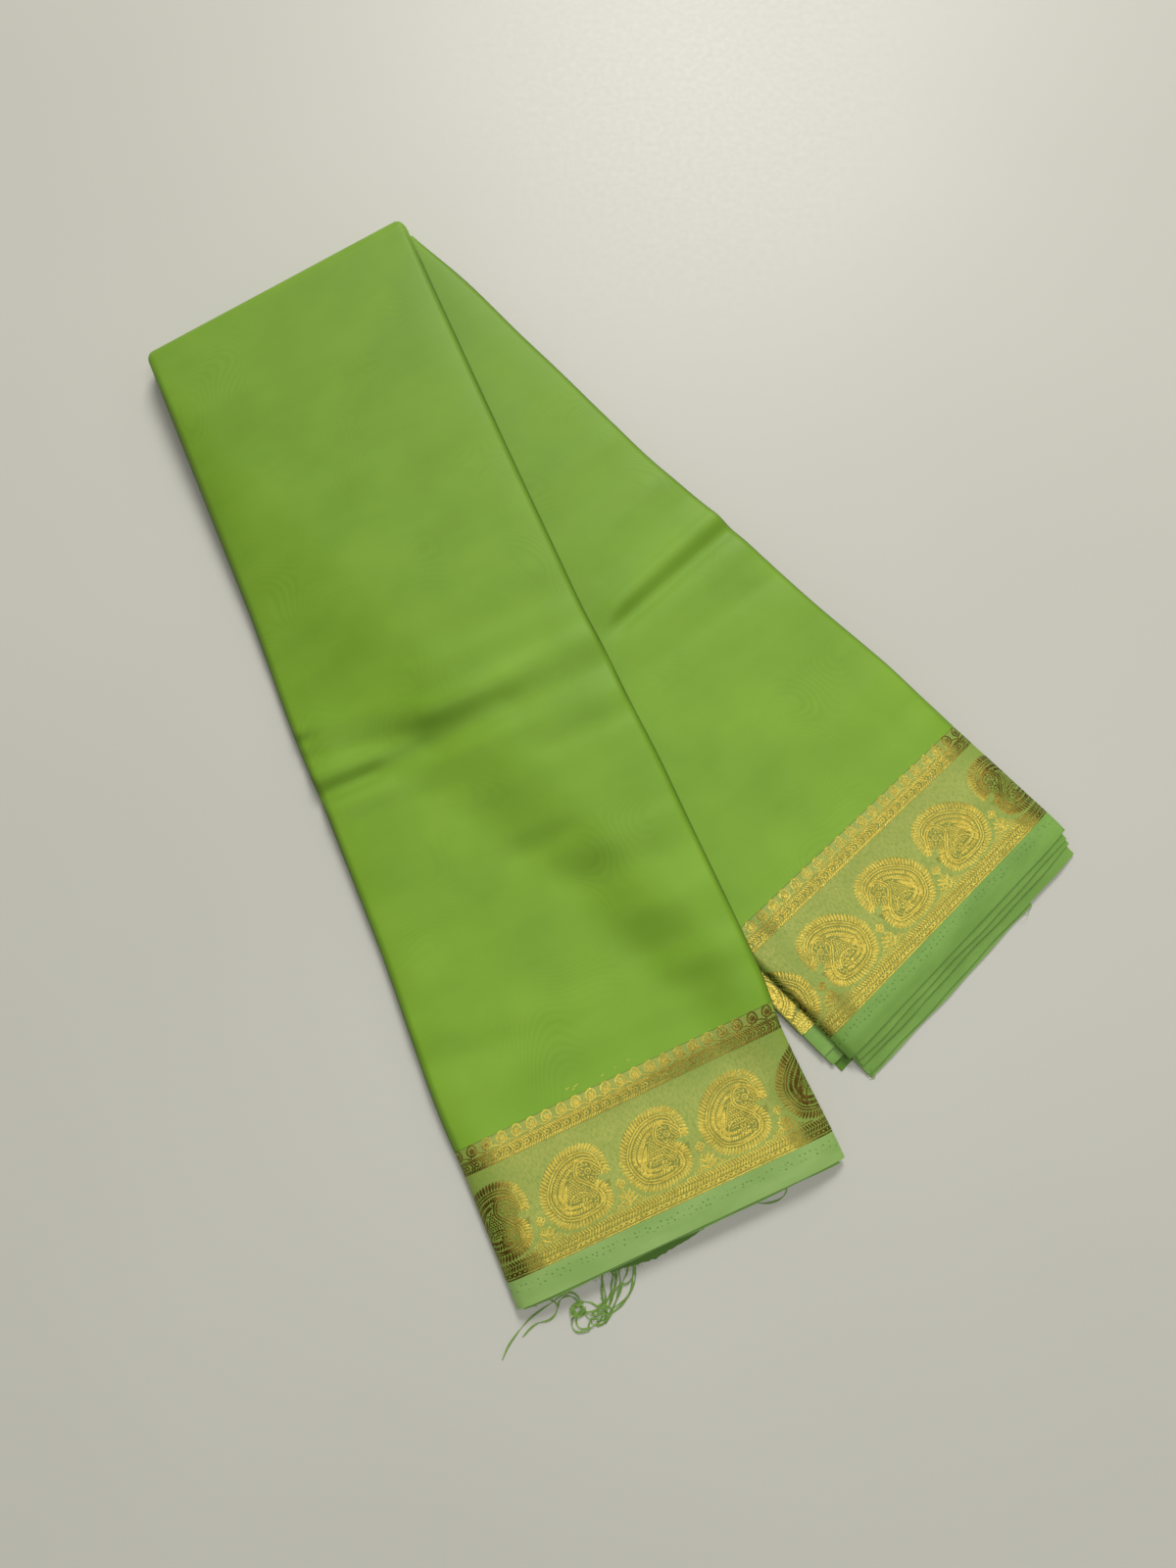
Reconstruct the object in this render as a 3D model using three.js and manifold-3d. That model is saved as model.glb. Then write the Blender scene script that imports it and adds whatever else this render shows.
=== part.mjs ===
// A folded silk saree laid flat: a strip of many layers, turned over once at a skew fold, so that an
// upper leg lies across a lower leg and the woven border shows at both free ends.
// Millimetres. +X is to the right, +Y runs away from the viewer and +Z is up; the underside is at Z 0.
import * as THREE from "three";
import Module from "manifold-3d";
import { mergeVertices } from "three/addons/utils/BufferGeometryUtils.js";

const wasm = await Module();
wasm.setup();

// The cloth. Lengths are measured down the middle of a leg, from the fold line to the hem.
const UPPER_LENGTH = 601.6;
const LOWER_LENGTH = 562;
const TRIM_HEIGHT = 15.5; // bud and rope trim along the top of the woven border
const BAND_HEIGHT = 57; // paisley band below it
const HEM_HEIGHT = 15; // plain selvedge
const BORDER_HEIGHT = TRIM_HEIGHT + BAND_HEIGHT + HEM_HEIGHT;
const PLY = 1.0; // a visible ply, which stands for four thin layers of cloth
const GAP = 0.3;
const PITCH = PLY + GAP;
const SLOTS = 8; // plies stacked in each leg, slot 0 at the bottom
const TOP_SLOT = SLOTS - 1;
const LEG_HEIGHT = SLOTS * PITCH - GAP;
const EDGE_RADIUS = LEG_HEIGHT / 2;
const TAIL = 40; // how far before its hem each inner ply is a sheet of its own

// How the legs lie. Angles are in degrees from the -Y direction towards +X.
const FOLD_MIDDLE = new THREE.Vector2(-192.01, 282.51);
const FOLD_ANGLE = 32.1; // direction square to the fold line
const FOLD_SHIFT = 1.9; // each leg's middle line meets the fold this far from the fold's middle
const UPPER_ANGLE = 23.6;
const LOWER_ANGLE = 44.6;
const LEG_CLEARANCE = 0.5; // between the lower leg's top and the upper leg's underside
const TURN_RADIUS = LEG_CLEARANCE / 2; // inside radius of the innermost ply at the fold
const LIFT = LEG_HEIGHT + LEG_CLEARANCE;
const DRAPE_START = 4; // how far past the lower leg's left edge the upper leg begins to come down
const NEAR_REACH = 78; // how far it takes to reach the ground close to the fold
const FAR_REACH = 32; // the same towards its hem, where it falls more steeply
const REACH_FROM = 250;
const REACH_RUN = 170;

// The lower leg's bottom plies are folded apart from the rest, and their left folds stand out.
const STEP_SLOTS = 3;
const STEP_HEIGHT = STEP_SLOTS * PITCH - GAP; // these plies lie flat, and no crease reaches them
const STEP_OUT = 9;
const STEP_START = 200;
const STEP_RUN = 250;
const STEP_RIGHT = 2; // how far these plies lie inside the rest on the right

// The plies above them come down to the ground past their hems.
const SAG_START = 551.5;
const SAG_RUN = 26;
const SAG_DEPTH = STEP_HEIGHT;

// Half-widths of the legs at stations along them.
const UPPER_EDGES = [
  { along: 0, left: 90.7, right: 89 },
  { along: 160, left: 91.7, right: 89 },
  { along: 262, left: 94, right: 89.6 },
  { along: 312, left: 93, right: 91.6 },
  { along: 380, left: 93.2, right: 93.8 },
  { along: 495, left: 96.6, right: 95 },
  { along: 530, left: 95.7, right: 92.6 },
  { along: 602, left: 95.7, right: 95.4 },
];
const LOWER_EDGES = [
  { along: 0, left: 90, right: 87.4 },
  { along: 50, left: 90, right: 89.6 },
  { along: 110, left: 90, right: 88 },
  { along: 222, left: 90, right: 85.6 },
  { along: 286, left: 90, right: 88 },
  { along: 345, left: 90, right: 88.2 },
  { along: 425, left: 90.5, right: 90.9 },
  { along: 562, left: 91, right: 91 },
];

// Ridges and troughs of the old storage crease across the middle of both legs. Each runs straight
// between two points of its leg, and reach is the distance in which it fades to either side.
const UPPER_CREASES = [
  { fromAlong: 289, fromAcross: -96, toAlong: 292, toAcross: -40, reach: 9, height: 2.2 },
  { fromAlong: 310, fromAcross: -96, toAlong: 314, toAcross: -30, reach: 8, height: -1.5 },
  { fromAlong: 266, fromAcross: -60, toAlong: 278, toAcross: 92, reach: 12, height: 2.0 },
  { fromAlong: 292, fromAcross: -30, toAlong: 296, toAcross: 92, reach: 10, height: -1.6 },
  { fromAlong: 332, fromAcross: -94, toAlong: 342, toAcross: 10, reach: 18, height: 1.1 },
];
const LOWER_CREASES = [
  { fromAlong: 252, fromAcross: 0, toAlong: 252, toAcross: 90, reach: 9, height: 1.0 },
  { fromAlong: 280, fromAcross: -30, toAlong: 286, toAcross: 90, reach: 12, height: 2.0 },
  { fromAlong: 302, fromAcross: -30, toAlong: 308, toAcross: 90, reach: 11, height: -1.5 },
];
const CREASE_MARGIN = 22; // a lower crease fades out this close to the upper leg's right edge

// Inner plies whose hems show, with how far each lies inside its leg's edges.
const LOWER_HEMS = [
  { name: "lower_hem_ply_2", from: 6, to: 6, hem: 566, left: 0.2, right: 0.1 },
  { name: "lower_hem_ply_3", from: 5, to: 5, hem: 569.6, left: 0.9, right: 2.4 },
  { name: "lower_hem_ply_4", from: 4, to: 4, hem: 575.4, left: 1.4, right: 4.8 },
  { name: "lower_hem_ply_5", from: 3, to: 3, hem: 577.6, left: 1.8, right: 44 },
];
const STEP_HEMS = [
  { name: "lower_step_hem_1", from: 2, to: 2, hem: 551.5, left: 0.3, right: 2.5 },
  { name: "lower_step_hem_2", from: 1, to: 1, hem: 558.2, left: 0.6, right: 3 },
];
const UNDER_PLY = { hem: 563.8, left: 2, right: 7 };
const UPPER_HEMS = [
  { name: "upper_hem_ply_2", from: 6, to: 6, hem: 602.9, left: 0.3, right: 0.6 },
  { name: "upper_hem_ply_3", from: 5, to: 5, hem: 601.2, left: 0.5, right: 1.0 },
  { name: "upper_hem_plies", from: 1, to: 4, hem: 600.4, left: 0.8, right: 1.2 },
];

// The saree's raw end, the upper leg's bottom ply: where its edge runs, from left to right.
const RAW_EDGE = [
  { across: -88, along: 600.8 },
  { across: -72, along: 602.6 },
  { across: -55, along: 602.6 },
  { across: -38, along: 604 },
  { across: -29, along: 605.8 },
  { across: -20, along: 606.7 },
  { across: -6, along: 605.2 },
  { across: 14, along: 599 },
  { across: 50, along: 594 },
  { across: 88, along: 590 },
];

// Loose threads at the raw end. A lean is in degrees from straight off the edge towards the right.
const THREAD_WIDTH = 0.6;
const THREAD_HEIGHT = 0.5; // middle of a thread above the ground
const THREAD_SEGMENT = 5;
const FRAY_FROM = -84;
const FRAY_TO = -27;
const FRAY_BACKING = 1.0;
const FRAY_HEIGHT = 0.65;
const FRAY_GAP = 0.45;
const THREADS = [
  { across: -81, length: 48, lean: -67, sway: 3.0 },
  { across: -77, length: 24, lean: -55, sway: -1.4 },
  { across: -71, length: 13, lean: -24, sway: 1.0 },
  { across: -66, length: 6, lean: -8, sway: 0.4 },
  { across: -58, length: 7, lean: -20, sway: -0.5 },
  { across: -51, length: 22, lean: -45, sway: 1.6 },
  { across: -47, length: 29, lean: -41, sway: -1.4 },
  { across: -43, length: 34, lean: -36, sway: 1.8 },
  { across: -39, length: 30, lean: -30, sway: 1.2 },
  { across: -35, length: 21, lean: -22, sway: -1.2 },
  { across: -31, length: 12, lean: -10, sway: 0.8 },
];

// Colours from the cloth in daylight.
const FIELD_GREEN = 0x74a03a;
const HEM_GREEN = 0x7fa352;
const LAYER_GREEN = 0x6c9836;
const ZARI_GOLD = 0xa99f48;

const { degToRad, lerp, clamp, smoothstep } = THREE.MathUtils;
const smooth = (value) => smoothstep(value, 0, 1);
const foldOut = new THREE.Vector2(-Math.sin(degToRad(FOLD_ANGLE)), Math.cos(degToRad(FOLD_ANGLE)));
const foldLine = new THREE.Vector2(foldOut.y, -foldOut.x);

function makeLeg(angle, shift, rest) {
  const turn = degToRad(angle);
  return {
    axis: new THREE.Vector2(Math.sin(turn), -Math.cos(turn)),
    side: new THREE.Vector2(Math.cos(turn), Math.sin(turn)),
    skew: Math.tan(degToRad(angle - FOLD_ANGLE)),
    origin: FOLD_MIDDLE.clone().addScaledVector(foldLine, shift),
    ...rest,
  };
}

const acrossIn = (leg, x, y) => leg.side.x * (x - leg.origin.x) + leg.side.y * (y - leg.origin.y);
const alongIn = (leg, x, y) => leg.axis.x * (x - leg.origin.x) + leg.axis.y * (y - leg.origin.y);

// The lower leg lies on the ground, and its creases fade out where the upper leg covers it.
const lower = makeLeg(LOWER_ANGLE, FOLD_SHIFT, {
  length: LOWER_LENGTH,
  columns: 8,
  edges: LOWER_EDGES,
  creases: LOWER_CREASES,
  base: () => 0,
  bare: (x, y) => smooth((acrossIn(upper, x, y) - UPPER_EDGES[0].right) / CREASE_MARGIN),
});

// The upper leg rests on the lower leg, and comes down to the ground past its left edge.
const upper = makeLeg(UPPER_ANGLE, -FOLD_SHIFT, {
  length: UPPER_LENGTH,
  columns: 12,
  edges: UPPER_EDGES,
  creases: UPPER_CREASES,
  base: (x, y) => {
    const far = smooth((alongIn(upper, x, y) - REACH_FROM) / REACH_RUN);
    const past = -acrossIn(lower, x, y) - LOWER_EDGES[0].left - DRAPE_START;
    return LIFT * smooth(1 - past / lerp(NEAR_REACH, FAR_REACH, far));
  },
  bare: () => 1,
});

function edgeAt(leg, along, key) {
  const next = leg.edges.findIndex((row) => row.along >= along);
  if (next <= 0) return leg.edges.at(next)[key];
  const a = leg.edges[next - 1];
  const b = leg.edges[next];
  return lerp(a[key], b[key], smooth((along - a.along) / (b.along - a.along)));
}

function reliefAt(leg, along, across) {
  let total = 0;
  for (const crease of leg.creases) {
    const run = crease.toAcross - crease.fromAcross;
    const share = (across - crease.fromAcross) / run;
    const inside = clamp(share, 0, 1);
    const away = (along - lerp(crease.fromAlong, crease.toAlong, inside)) / crease.reach;
    const past = ((share - inside) * run) / (2 * crease.reach);
    total += crease.height * Math.exp(-away * away - past * past);
  }
  return total;
}

// A point of a leg: along from the fold line, across from the middle line, height in the stack.
// The rows turn from the fold's skew direction to the hem's square one down the leg.
function legPoint(leg, along, across, height) {
  const a = along + across * leg.skew * (1 - along / leg.length);
  const x = leg.origin.x + a * leg.axis.x + across * leg.side.x;
  const y = leg.origin.y + a * leg.axis.y + across * leg.side.y;
  const share = clamp((height - STEP_HEIGHT) / (TOP_SLOT * PITCH - STEP_HEIGHT), 0, 1);
  const relief = share * leg.bare(x, y) * reliefAt(leg, a, across);
  return new THREE.Vector3(x, y, leg.base(x, y) + height + relief);
}

// A point of the turn at the fold. The angle is 0 on top and 180 underneath, and the radius is
// counted from the fold line's axis.
function foldPoint(angle, across, radius) {
  const turn = degToRad(angle);
  const start = legPoint(upper, 0, across, 0).lerp(legPoint(lower, 0, across, 0), angle / 180);
  const out = radius * Math.sin(turn);
  const z = LIFT - TURN_RADIUS + radius * Math.cos(turn);
  return new THREE.Vector3(start.x + out * foldOut.x, start.y + out * foldOut.y, z);
}

// Where a section's point falls across a leg: a share of the half-width, and an inset from the edge.
function acrossOf(leg, along, point, step) {
  const half = edgeAt(leg, along, point.share < 0 ? "left" : "right");
  const out = point.share < 0 ? step * smooth((along - STEP_START) / STEP_RUN) : 0;
  return point.share * (half + out - point.inset);
}

// Rings of a section along a leg. A ply with a drop sags to the ground past the hems below it.
function legRings(leg, rows, section, { step = 0, drop = 0 } = {}) {
  return rows.map((along) =>
    section.map((point) => {
      const at = legPoint(leg, along, acrossOf(leg, along, point, step), point.height);
      at.z -= drop * smooth((along - SAG_START) / SAG_RUN);
      return at;
    }),
  );
}

// Rings of a section round the fold, as the upper leg or the lower leg holds it.
function foldRings(leg, angles, section) {
  const radius = (height) => TURN_RADIUS + (leg === upper ? height : LEG_HEIGHT - height);
  return angles.map((angle) =>
    section.map((point) => foldPoint(angle, acrossOf(leg, 0, point, 0), radius(point.height))),
  );
}

// Sections are lists of points across a leg, from left to right.
const EDGE_STEPS = 3;

function flatPoints(leg, height, right = 0) {
  return Array.from({ length: leg.columns }, (_, i) => {
    const share = (2 * (i + 1)) / (leg.columns + 1) - 1;
    return { share, inset: Math.max(EDGE_RADIUS, share > 0 ? right : 0), height };
  });
}

// Points up one rounded edge, from a low angle to the top.
function roundEdge(radius, low, side) {
  return Array.from({ length: EDGE_STEPS + 1 }, (_, i) => {
    const angle = degToRad(lerp(low, 90, i / EDGE_STEPS));
    return {
      share: side,
      inset: EDGE_RADIUS - radius * Math.cos(angle),
      height: EDGE_RADIUS + radius * Math.sin(angle),
    };
  });
}

// The showing ply goes over the stack and down round both of its edges.
const LEFT_CURL = 20;
const RIGHT_CURL = -20;

function coverSection(leg, inside) {
  const radius = EDGE_RADIUS - inside;
  return [
    ...roundEdge(radius, LEFT_CURL, -1),
    ...flatPoints(leg, EDGE_RADIUS + radius),
    ...roundEdge(radius, RIGHT_CURL, 1).reverse(),
  ];
}

// How far a round edge of some radius, concentric with the leg's own, lies inside the leg's edge.
function roundInset(radius, height) {
  const rise = Math.min(Math.abs(height - EDGE_RADIUS), radius);
  return EDGE_RADIUS - Math.sqrt(radius ** 2 - rise ** 2);
}

// Inner plies fill the round edge below the showing ply's curl, and lie inside the curl above that.
const LEFT_BARE = 6.25;
const RIGHT_BARE = 2.45;
const EDGE_GAP = 0.4;

function innerInset(height, bareBelow) {
  const covered = height > bareBelow;
  return roundInset(EDGE_RADIUS - EDGE_GAP - (covered ? PLY : 0), height);
}
const leftInset = (height) => innerInset(height, LEFT_BARE);
const rightInset = (height) => innerInset(height, RIGHT_BARE);

// One edge of a pile of plies, upwards. Each fold bulges, and the joints between them are set in.
const JOINT_DEPTH = 0.8;

function layeredEdge(from, to, side, inset) {
  const points = [];
  for (let slot = from; slot <= to; slot++) {
    const bottom = slot * PITCH;
    const middle = bottom + PLY / 2;
    points.push({ share: side, inset: inset(bottom) + JOINT_DEPTH, height: bottom });
    points.push({ share: side, inset: inset(middle), height: middle });
  }
  const top = to * PITCH + PLY;
  points.push({ share: side, inset: inset(top) + JOINT_DEPTH, height: top });
  return points;
}

// The closed section of a pile of plies between two slots.
function pileSection(leg, from, to, left, right) {
  const inside = right(from * PITCH + PLY / 2);
  return [
    ...layeredEdge(from, to, -1, left),
    ...flatPoints(leg, to * PITCH + PLY, inside),
    ...layeredEdge(from, to, 1, right).reverse(),
    ...flatPoints(leg, from * PITCH, inside).reverse(),
  ];
}

function toGeometry(points, index) {
  const geometry = new THREE.BufferGeometry();
  const positions = points.flatMap((p) => [p.x, p.y, p.z]);
  geometry.setAttribute("position", new THREE.Float32BufferAttribute(positions, 3));
  geometry.setIndex(index);
  return geometry;
}

// A solid wall between two grids of points, the outer one and the inner one.
function wall(outer, inner) {
  const rows = outer.length;
  const columns = outer[0].length;
  const outerAt = (i, j) => i * columns + j;
  const innerAt = (i, j) => (rows + i) * columns + j;
  const index = [];
  const quad = (a, b, c, d) => index.push(a, b, c, a, c, d);
  for (let i = 0; i + 1 < rows; i++) {
    for (let j = 0; j + 1 < columns; j++) {
      quad(outerAt(i, j), outerAt(i + 1, j), outerAt(i + 1, j + 1), outerAt(i, j + 1));
      quad(innerAt(i, j), innerAt(i, j + 1), innerAt(i + 1, j + 1), innerAt(i + 1, j));
    }
    const end = columns - 1;
    quad(innerAt(i, 0), innerAt(i + 1, 0), outerAt(i + 1, 0), outerAt(i, 0));
    quad(outerAt(i, end), outerAt(i + 1, end), innerAt(i + 1, end), innerAt(i, end));
  }
  for (let j = 0; j + 1 < columns; j++) {
    const last = rows - 1;
    quad(outerAt(0, j), outerAt(0, j + 1), innerAt(0, j + 1), innerAt(0, j));
    quad(outerAt(last, j + 1), outerAt(last, j), innerAt(last, j), innerAt(last, j + 1));
  }
  return toGeometry([...outer.flat(), ...inner.flat()], index);
}

// A solid through closed rings of a pile, capped level by level between its two edges. The ring
// runs up the left edge, over the top, down the right edge and back, and both sheets of facets are
// split the same way, so that stacked piles stay parallel.
function pile(leg, rings) {
  const count = rings[0].length;
  const top = count / 2 - leg.columns - 1;
  const rightAt = (level) => 2 * top + leg.columns + 1 - level;
  const index = [];
  for (let i = 0; i + 1 < rings.length; i++) {
    for (let j = 0; j < count; j++) {
      const next = (j + 1) % count;
      const here = i * count;
      const there = here + count;
      if (j < count / 2) {
        index.push(here + j, there + j, there + next, here + j, there + next, here + next);
      } else {
        index.push(here + j, there + j, here + next, there + j, there + next, here + next);
      }
    }
  }
  const cap = [];
  for (let j = top; j <= top + leg.columns + 1; j++) cap.push([top - 1, j, j + 1]);
  for (let j = rightAt(1); j < count; j++) cap.push([1, j, (j + 1) % count]);
  for (let level = 1; level < top - 1; level++) {
    cap.push([level + 1, rightAt(level + 1), rightAt(level)], [level + 1, rightAt(level), level]);
  }
  const last = (rings.length - 1) * count;
  for (const [a, b, c] of cap) index.push(a, b, c, last + a, last + c, last + b);
  return toGeometry(rings.flat(), index);
}

const saree = new THREE.Group();
const FINISHES = {
  field: { color: FIELD_GREEN, roughness: 0.55, metalness: 0 },
  zari: { color: ZARI_GOLD, roughness: 0.4, metalness: 0.6 },
  hem: { color: HEM_GREEN, roughness: 0.5, metalness: 0 },
  layers: { color: LAYER_GREEN, roughness: 0.6, metalness: 0 },
};

function add(name, finish, geometry) {
  const mesh = new THREE.Mesh(geometry, new THREE.MeshStandardMaterial(FINISHES[finish]));
  mesh.name = name;
  saree.add(mesh);
}

// Rows down a leg, close together at the storage crease, and evenly where the upper leg drapes.
const CREASE_ROWS = [232, 250, 264, 276, 288, 299, 310, 322, 338];
const UPPER_ROWS = [8, 36, 64, 92, 120, 148, 176, 204, ...CREASE_ROWS, 362, 386, 410, 436, 462, 488];
const LOWER_ROWS = [8, 60, 120, 190, ...CREASE_ROWS, 370, 420];
const UPPER_END_ROWS = [574, UPPER_LENGTH - HEM_HEIGHT, 594];
const LOWER_END_ROWS = [SAG_START, SAG_START + 9, SAG_START + 18];
const TOP_ANGLES = [96, 72, 48, 24, 0];
const UNDER_ANGLES = [98, 120, 140, 160, 180];
const TURN_ANGLES = [180, 150, 120, 96, 72, 48, 24, 0];
const STEP_ROWS = [GAP, 110, 222, 345];

// The rows between two stations, with none too close to either.
const ROW_SPACE = 2;

function rowsBetween(rows, from, to) {
  return [from, ...rows.filter((row) => row > from + ROW_SPACE && row < to - ROW_SPACE), to];
}

// The ply that shows on a leg: its green field, its woven border and its plain hem.
function showingPly(name, leg, rows, fieldStart, drop) {
  const [outer, inner] = [coverSection(leg, 0), coverSection(leg, PLY)];
  const border = leg.length - BORDER_HEIGHT;
  const hem = leg.length - HEM_HEIGHT;
  const ends = [border + TRIM_HEIGHT, leg.length - TAIL, ...rows.end];
  const field = rowsBetween(rows.field, rows.field[0], border - GAP);
  const pieces = [
    { piece: "border", finish: "zari", stations: rowsBetween(ends, border, hem - GAP) },
    { piece: "hem", finish: "hem", stations: rowsBetween(ends, hem, leg.length) },
  ];
  const fieldGrids = [outer, inner].map((s) => [...fieldStart(s), ...legRings(leg, field, s)]);
  add(`${name}_field`, "field", wall(...fieldGrids));
  for (const { piece, finish, stations } of pieces) {
    const grids = [outer, inner].map((section) => legRings(leg, stations, section, { drop }));
    add(`${name}_${piece}`, finish, wall(...grids));
  }
}

// The plies under the showing one, as one solid from the fold line to where their hems begin.
function hiddenLayers(name, leg, rows, from) {
  const border = leg.length - BORDER_HEIGHT;
  const tail = leg.length - TAIL;
  const section = pileSection(leg, from, TOP_SLOT - 1, leftInset, rightInset);
  const stations = [...rowsBetween(rows.field, GAP, border), border + TRIM_HEIGHT, tail - GAP];
  add(name, "layers", pile(leg, legRings(leg, stations, section)));
}

// The end of one or more inner plies at a leg's hem.
function innerHem({ name, from, to, hem, left, right }, leg, rows, start, lay) {
  const section = pileSection(leg, from, to, (h) => leftInset(h) + left, (h) => rightInset(h) + right);
  add(name, "hem", pile(leg, legRings(leg, rowsBetween(rows.end, start, hem), section, lay)));
}

function addUpperLeg() {
  const rows = { field: UPPER_ROWS, end: UPPER_END_ROWS };
  showingPly("upper", upper, rows, (section) => foldRings(upper, TOP_ANGLES, section), 0);
  hiddenLayers("upper_layers", upper, rows, 0);
  for (const row of UPPER_HEMS) innerHem(row, upper, rows, UPPER_LENGTH - TAIL, {});
}

function addFold() {
  const layers = pileSection(upper, 0, TOP_SLOT - 1, leftInset, rightInset);
  add("fold_turn", "layers", pile(upper, foldRings(upper, TURN_ANGLES, layers)));
}

function addLowerLeg() {
  const rows = { field: LOWER_ROWS, end: LOWER_END_ROWS };
  showingPly("lower", lower, rows, () => [], SAG_DEPTH);
  hiddenLayers("lower_layers", lower, rows, STEP_SLOTS);
  for (const row of LOWER_HEMS) {
    innerHem(row, lower, rows, LOWER_LENGTH - TAIL, { drop: SAG_DEPTH });
  }
}

// The bottom plies of the lower leg, whose folds stand out past the rest on the left.
function addStep() {
  const step = { step: STEP_OUT };
  const section = pileSection(lower, 1, STEP_SLOTS - 1, () => 0, (h) => rightInset(h) + STEP_RIGHT);
  const solid = (rows) => pile(lower, legRings(lower, rows, section, step));
  const border = LOWER_LENGTH - BORDER_HEIGHT;
  const hem = SAG_START - HEM_HEIGHT;
  add("lower_step_layers", "layers", solid([...STEP_ROWS, border - GAP]));
  add("lower_step_border", "zari", solid([border, hem - GAP]));
  for (const row of STEP_HEMS) innerHem(row, lower, { end: LOWER_END_ROWS }, hem, step);
  const under = pileSection(lower, 0, 0, () => UNDER_PLY.left, () => UNDER_PLY.right);
  const turn = foldRings(lower, UNDER_ANGLES, under);
  const flat = legRings(lower, [...STEP_ROWS.slice(1), UNDER_PLY.hem], under, step);
  add("lower_under", "layers", pile(lower, [...turn, ...flat]));
}

function rawEdgeAt(across) {
  const next = RAW_EDGE.findIndex((row) => row.across >= across);
  const [a, b] = [RAW_EDGE[next - 1], RAW_EDGE[next]];
  return lerp(a.along, b.along, (across - a.across) / (b.across - a.across));
}

// The raw end: the bottom ply of the upper leg, cut unevenly.
function addRawEnd() {
  const start = UPPER_LENGTH - TAIL;
  const grid = (height) =>
    [0, 0.5, 1].map((share) =>
      RAW_EDGE.map((row) => legPoint(upper, lerp(start, row.along, share), row.across, height)),
    );
  add("raw_end", "field", wall(grid(PLY), grid(0)));
}

// A square rod along a smooth curve through points, as a solid that can be joined to others.
function rod(points, width, steps) {
  const half = width / 2;
  const square = new THREE.Shape([
    new THREE.Vector2(-half, -half),
    new THREE.Vector2(half, -half),
    new THREE.Vector2(half, half),
    new THREE.Vector2(-half, half),
  ]);
  const extrudePath = new THREE.CatmullRomCurve3(points);
  const geometry = new THREE.ExtrudeGeometry(square, { steps, extrudePath, bevelEnabled: false });
  geometry.deleteAttribute("normal");
  geometry.deleteAttribute("uv");
  const merged = mergeVertices(geometry, 1e-4);
  const vertProperties = new Float32Array(merged.attributes.position.array);
  const triVerts = new Uint32Array(merged.index.array);
  return new wasm.Manifold(new wasm.Mesh({ numProp: 3, vertProperties, triVerts }));
}

// Loose threads, fused at their roots into a narrow strip parted from the raw edge.
function addThreads() {
  const seam = FRAY_GAP + FRAY_BACKING / 2;
  const inside = RAW_EDGE.filter((row) => row.across > FRAY_FROM && row.across < FRAY_TO);
  const stations = [FRAY_FROM, ...inside.map((row) => row.across), FRAY_TO];
  const edge = stations.map((a) => legPoint(upper, rawEdgeAt(a) + seam, a, FRAY_HEIGHT));
  let fray = rod(edge, FRAY_BACKING, 2 * stations.length);
  for (const { across, length, lean, sway } of THREADS) {
    const turn = degToRad(lean);
    const root = rawEdgeAt(across) + seam;
    const segments = Math.max(3, Math.round(length / THREAD_SEGMENT));
    const points = Array.from({ length: segments + 1 }, (_, i) => {
      const share = i / segments;
      const off = sway * Math.sin(share * Math.PI * 2) * share;
      const along = root + length * share * Math.cos(turn) - off * Math.sin(turn);
      const side = across + length * share * Math.sin(turn) + off * Math.cos(turn);
      return legPoint(upper, along, side, THREAD_HEIGHT);
    });
    fray = fray.add(rod(points, THREAD_WIDTH, segments));
  }
  const mesh = fray.getMesh();
  const geometry = new THREE.BufferGeometry();
  geometry.setAttribute("position", new THREE.BufferAttribute(mesh.vertProperties, mesh.numProp));
  geometry.setIndex(new THREE.BufferAttribute(mesh.triVerts, 1));
  add("frayed_threads", "hem", geometry);
}

addUpperLeg();
addFold();
addLowerLeg();
addStep();
addRawEnd();
addThreads();

export default saree;
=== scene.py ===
"""A folded silk saree with a woven gold border, lying flat on a pale surface."""

import math

import bpy
import numpy as np
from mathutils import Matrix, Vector


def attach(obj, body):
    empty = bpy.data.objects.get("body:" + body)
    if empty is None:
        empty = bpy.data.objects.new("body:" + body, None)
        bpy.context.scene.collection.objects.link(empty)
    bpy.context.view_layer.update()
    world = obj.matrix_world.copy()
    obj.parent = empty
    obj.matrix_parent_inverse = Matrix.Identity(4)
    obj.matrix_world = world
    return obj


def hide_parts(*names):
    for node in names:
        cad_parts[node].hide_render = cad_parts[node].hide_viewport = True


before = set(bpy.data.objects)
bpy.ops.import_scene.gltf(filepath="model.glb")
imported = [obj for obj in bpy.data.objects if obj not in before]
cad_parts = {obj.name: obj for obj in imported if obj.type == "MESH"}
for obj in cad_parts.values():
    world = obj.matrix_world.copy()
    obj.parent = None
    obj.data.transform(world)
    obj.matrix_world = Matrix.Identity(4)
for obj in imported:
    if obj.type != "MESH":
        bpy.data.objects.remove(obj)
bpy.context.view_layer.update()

# The form of the folded cloth
# In millimetres, as in the solids: u runs down a leg from the fold line, s across it over the cloth.
# A leg is a stack of plies, one to a slot.

PLY, PITCH, SLOTS = 1.0, 1.3, 8
GAP = 0.3
LEG_HEIGHT = SLOTS * PITCH - GAP
RADIUS = LEG_HEIGHT / 2
STEP_TOP = 3 * PITCH - GAP
INNER_TOP = 6 * PITCH + PLY
TOP = 7 * PITCH
FOLD_MIDDLE = np.array([-192.01, 282.51])
FOLD_ANGLE, FOLD_SHIFT = 32.1, 1.9
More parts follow.
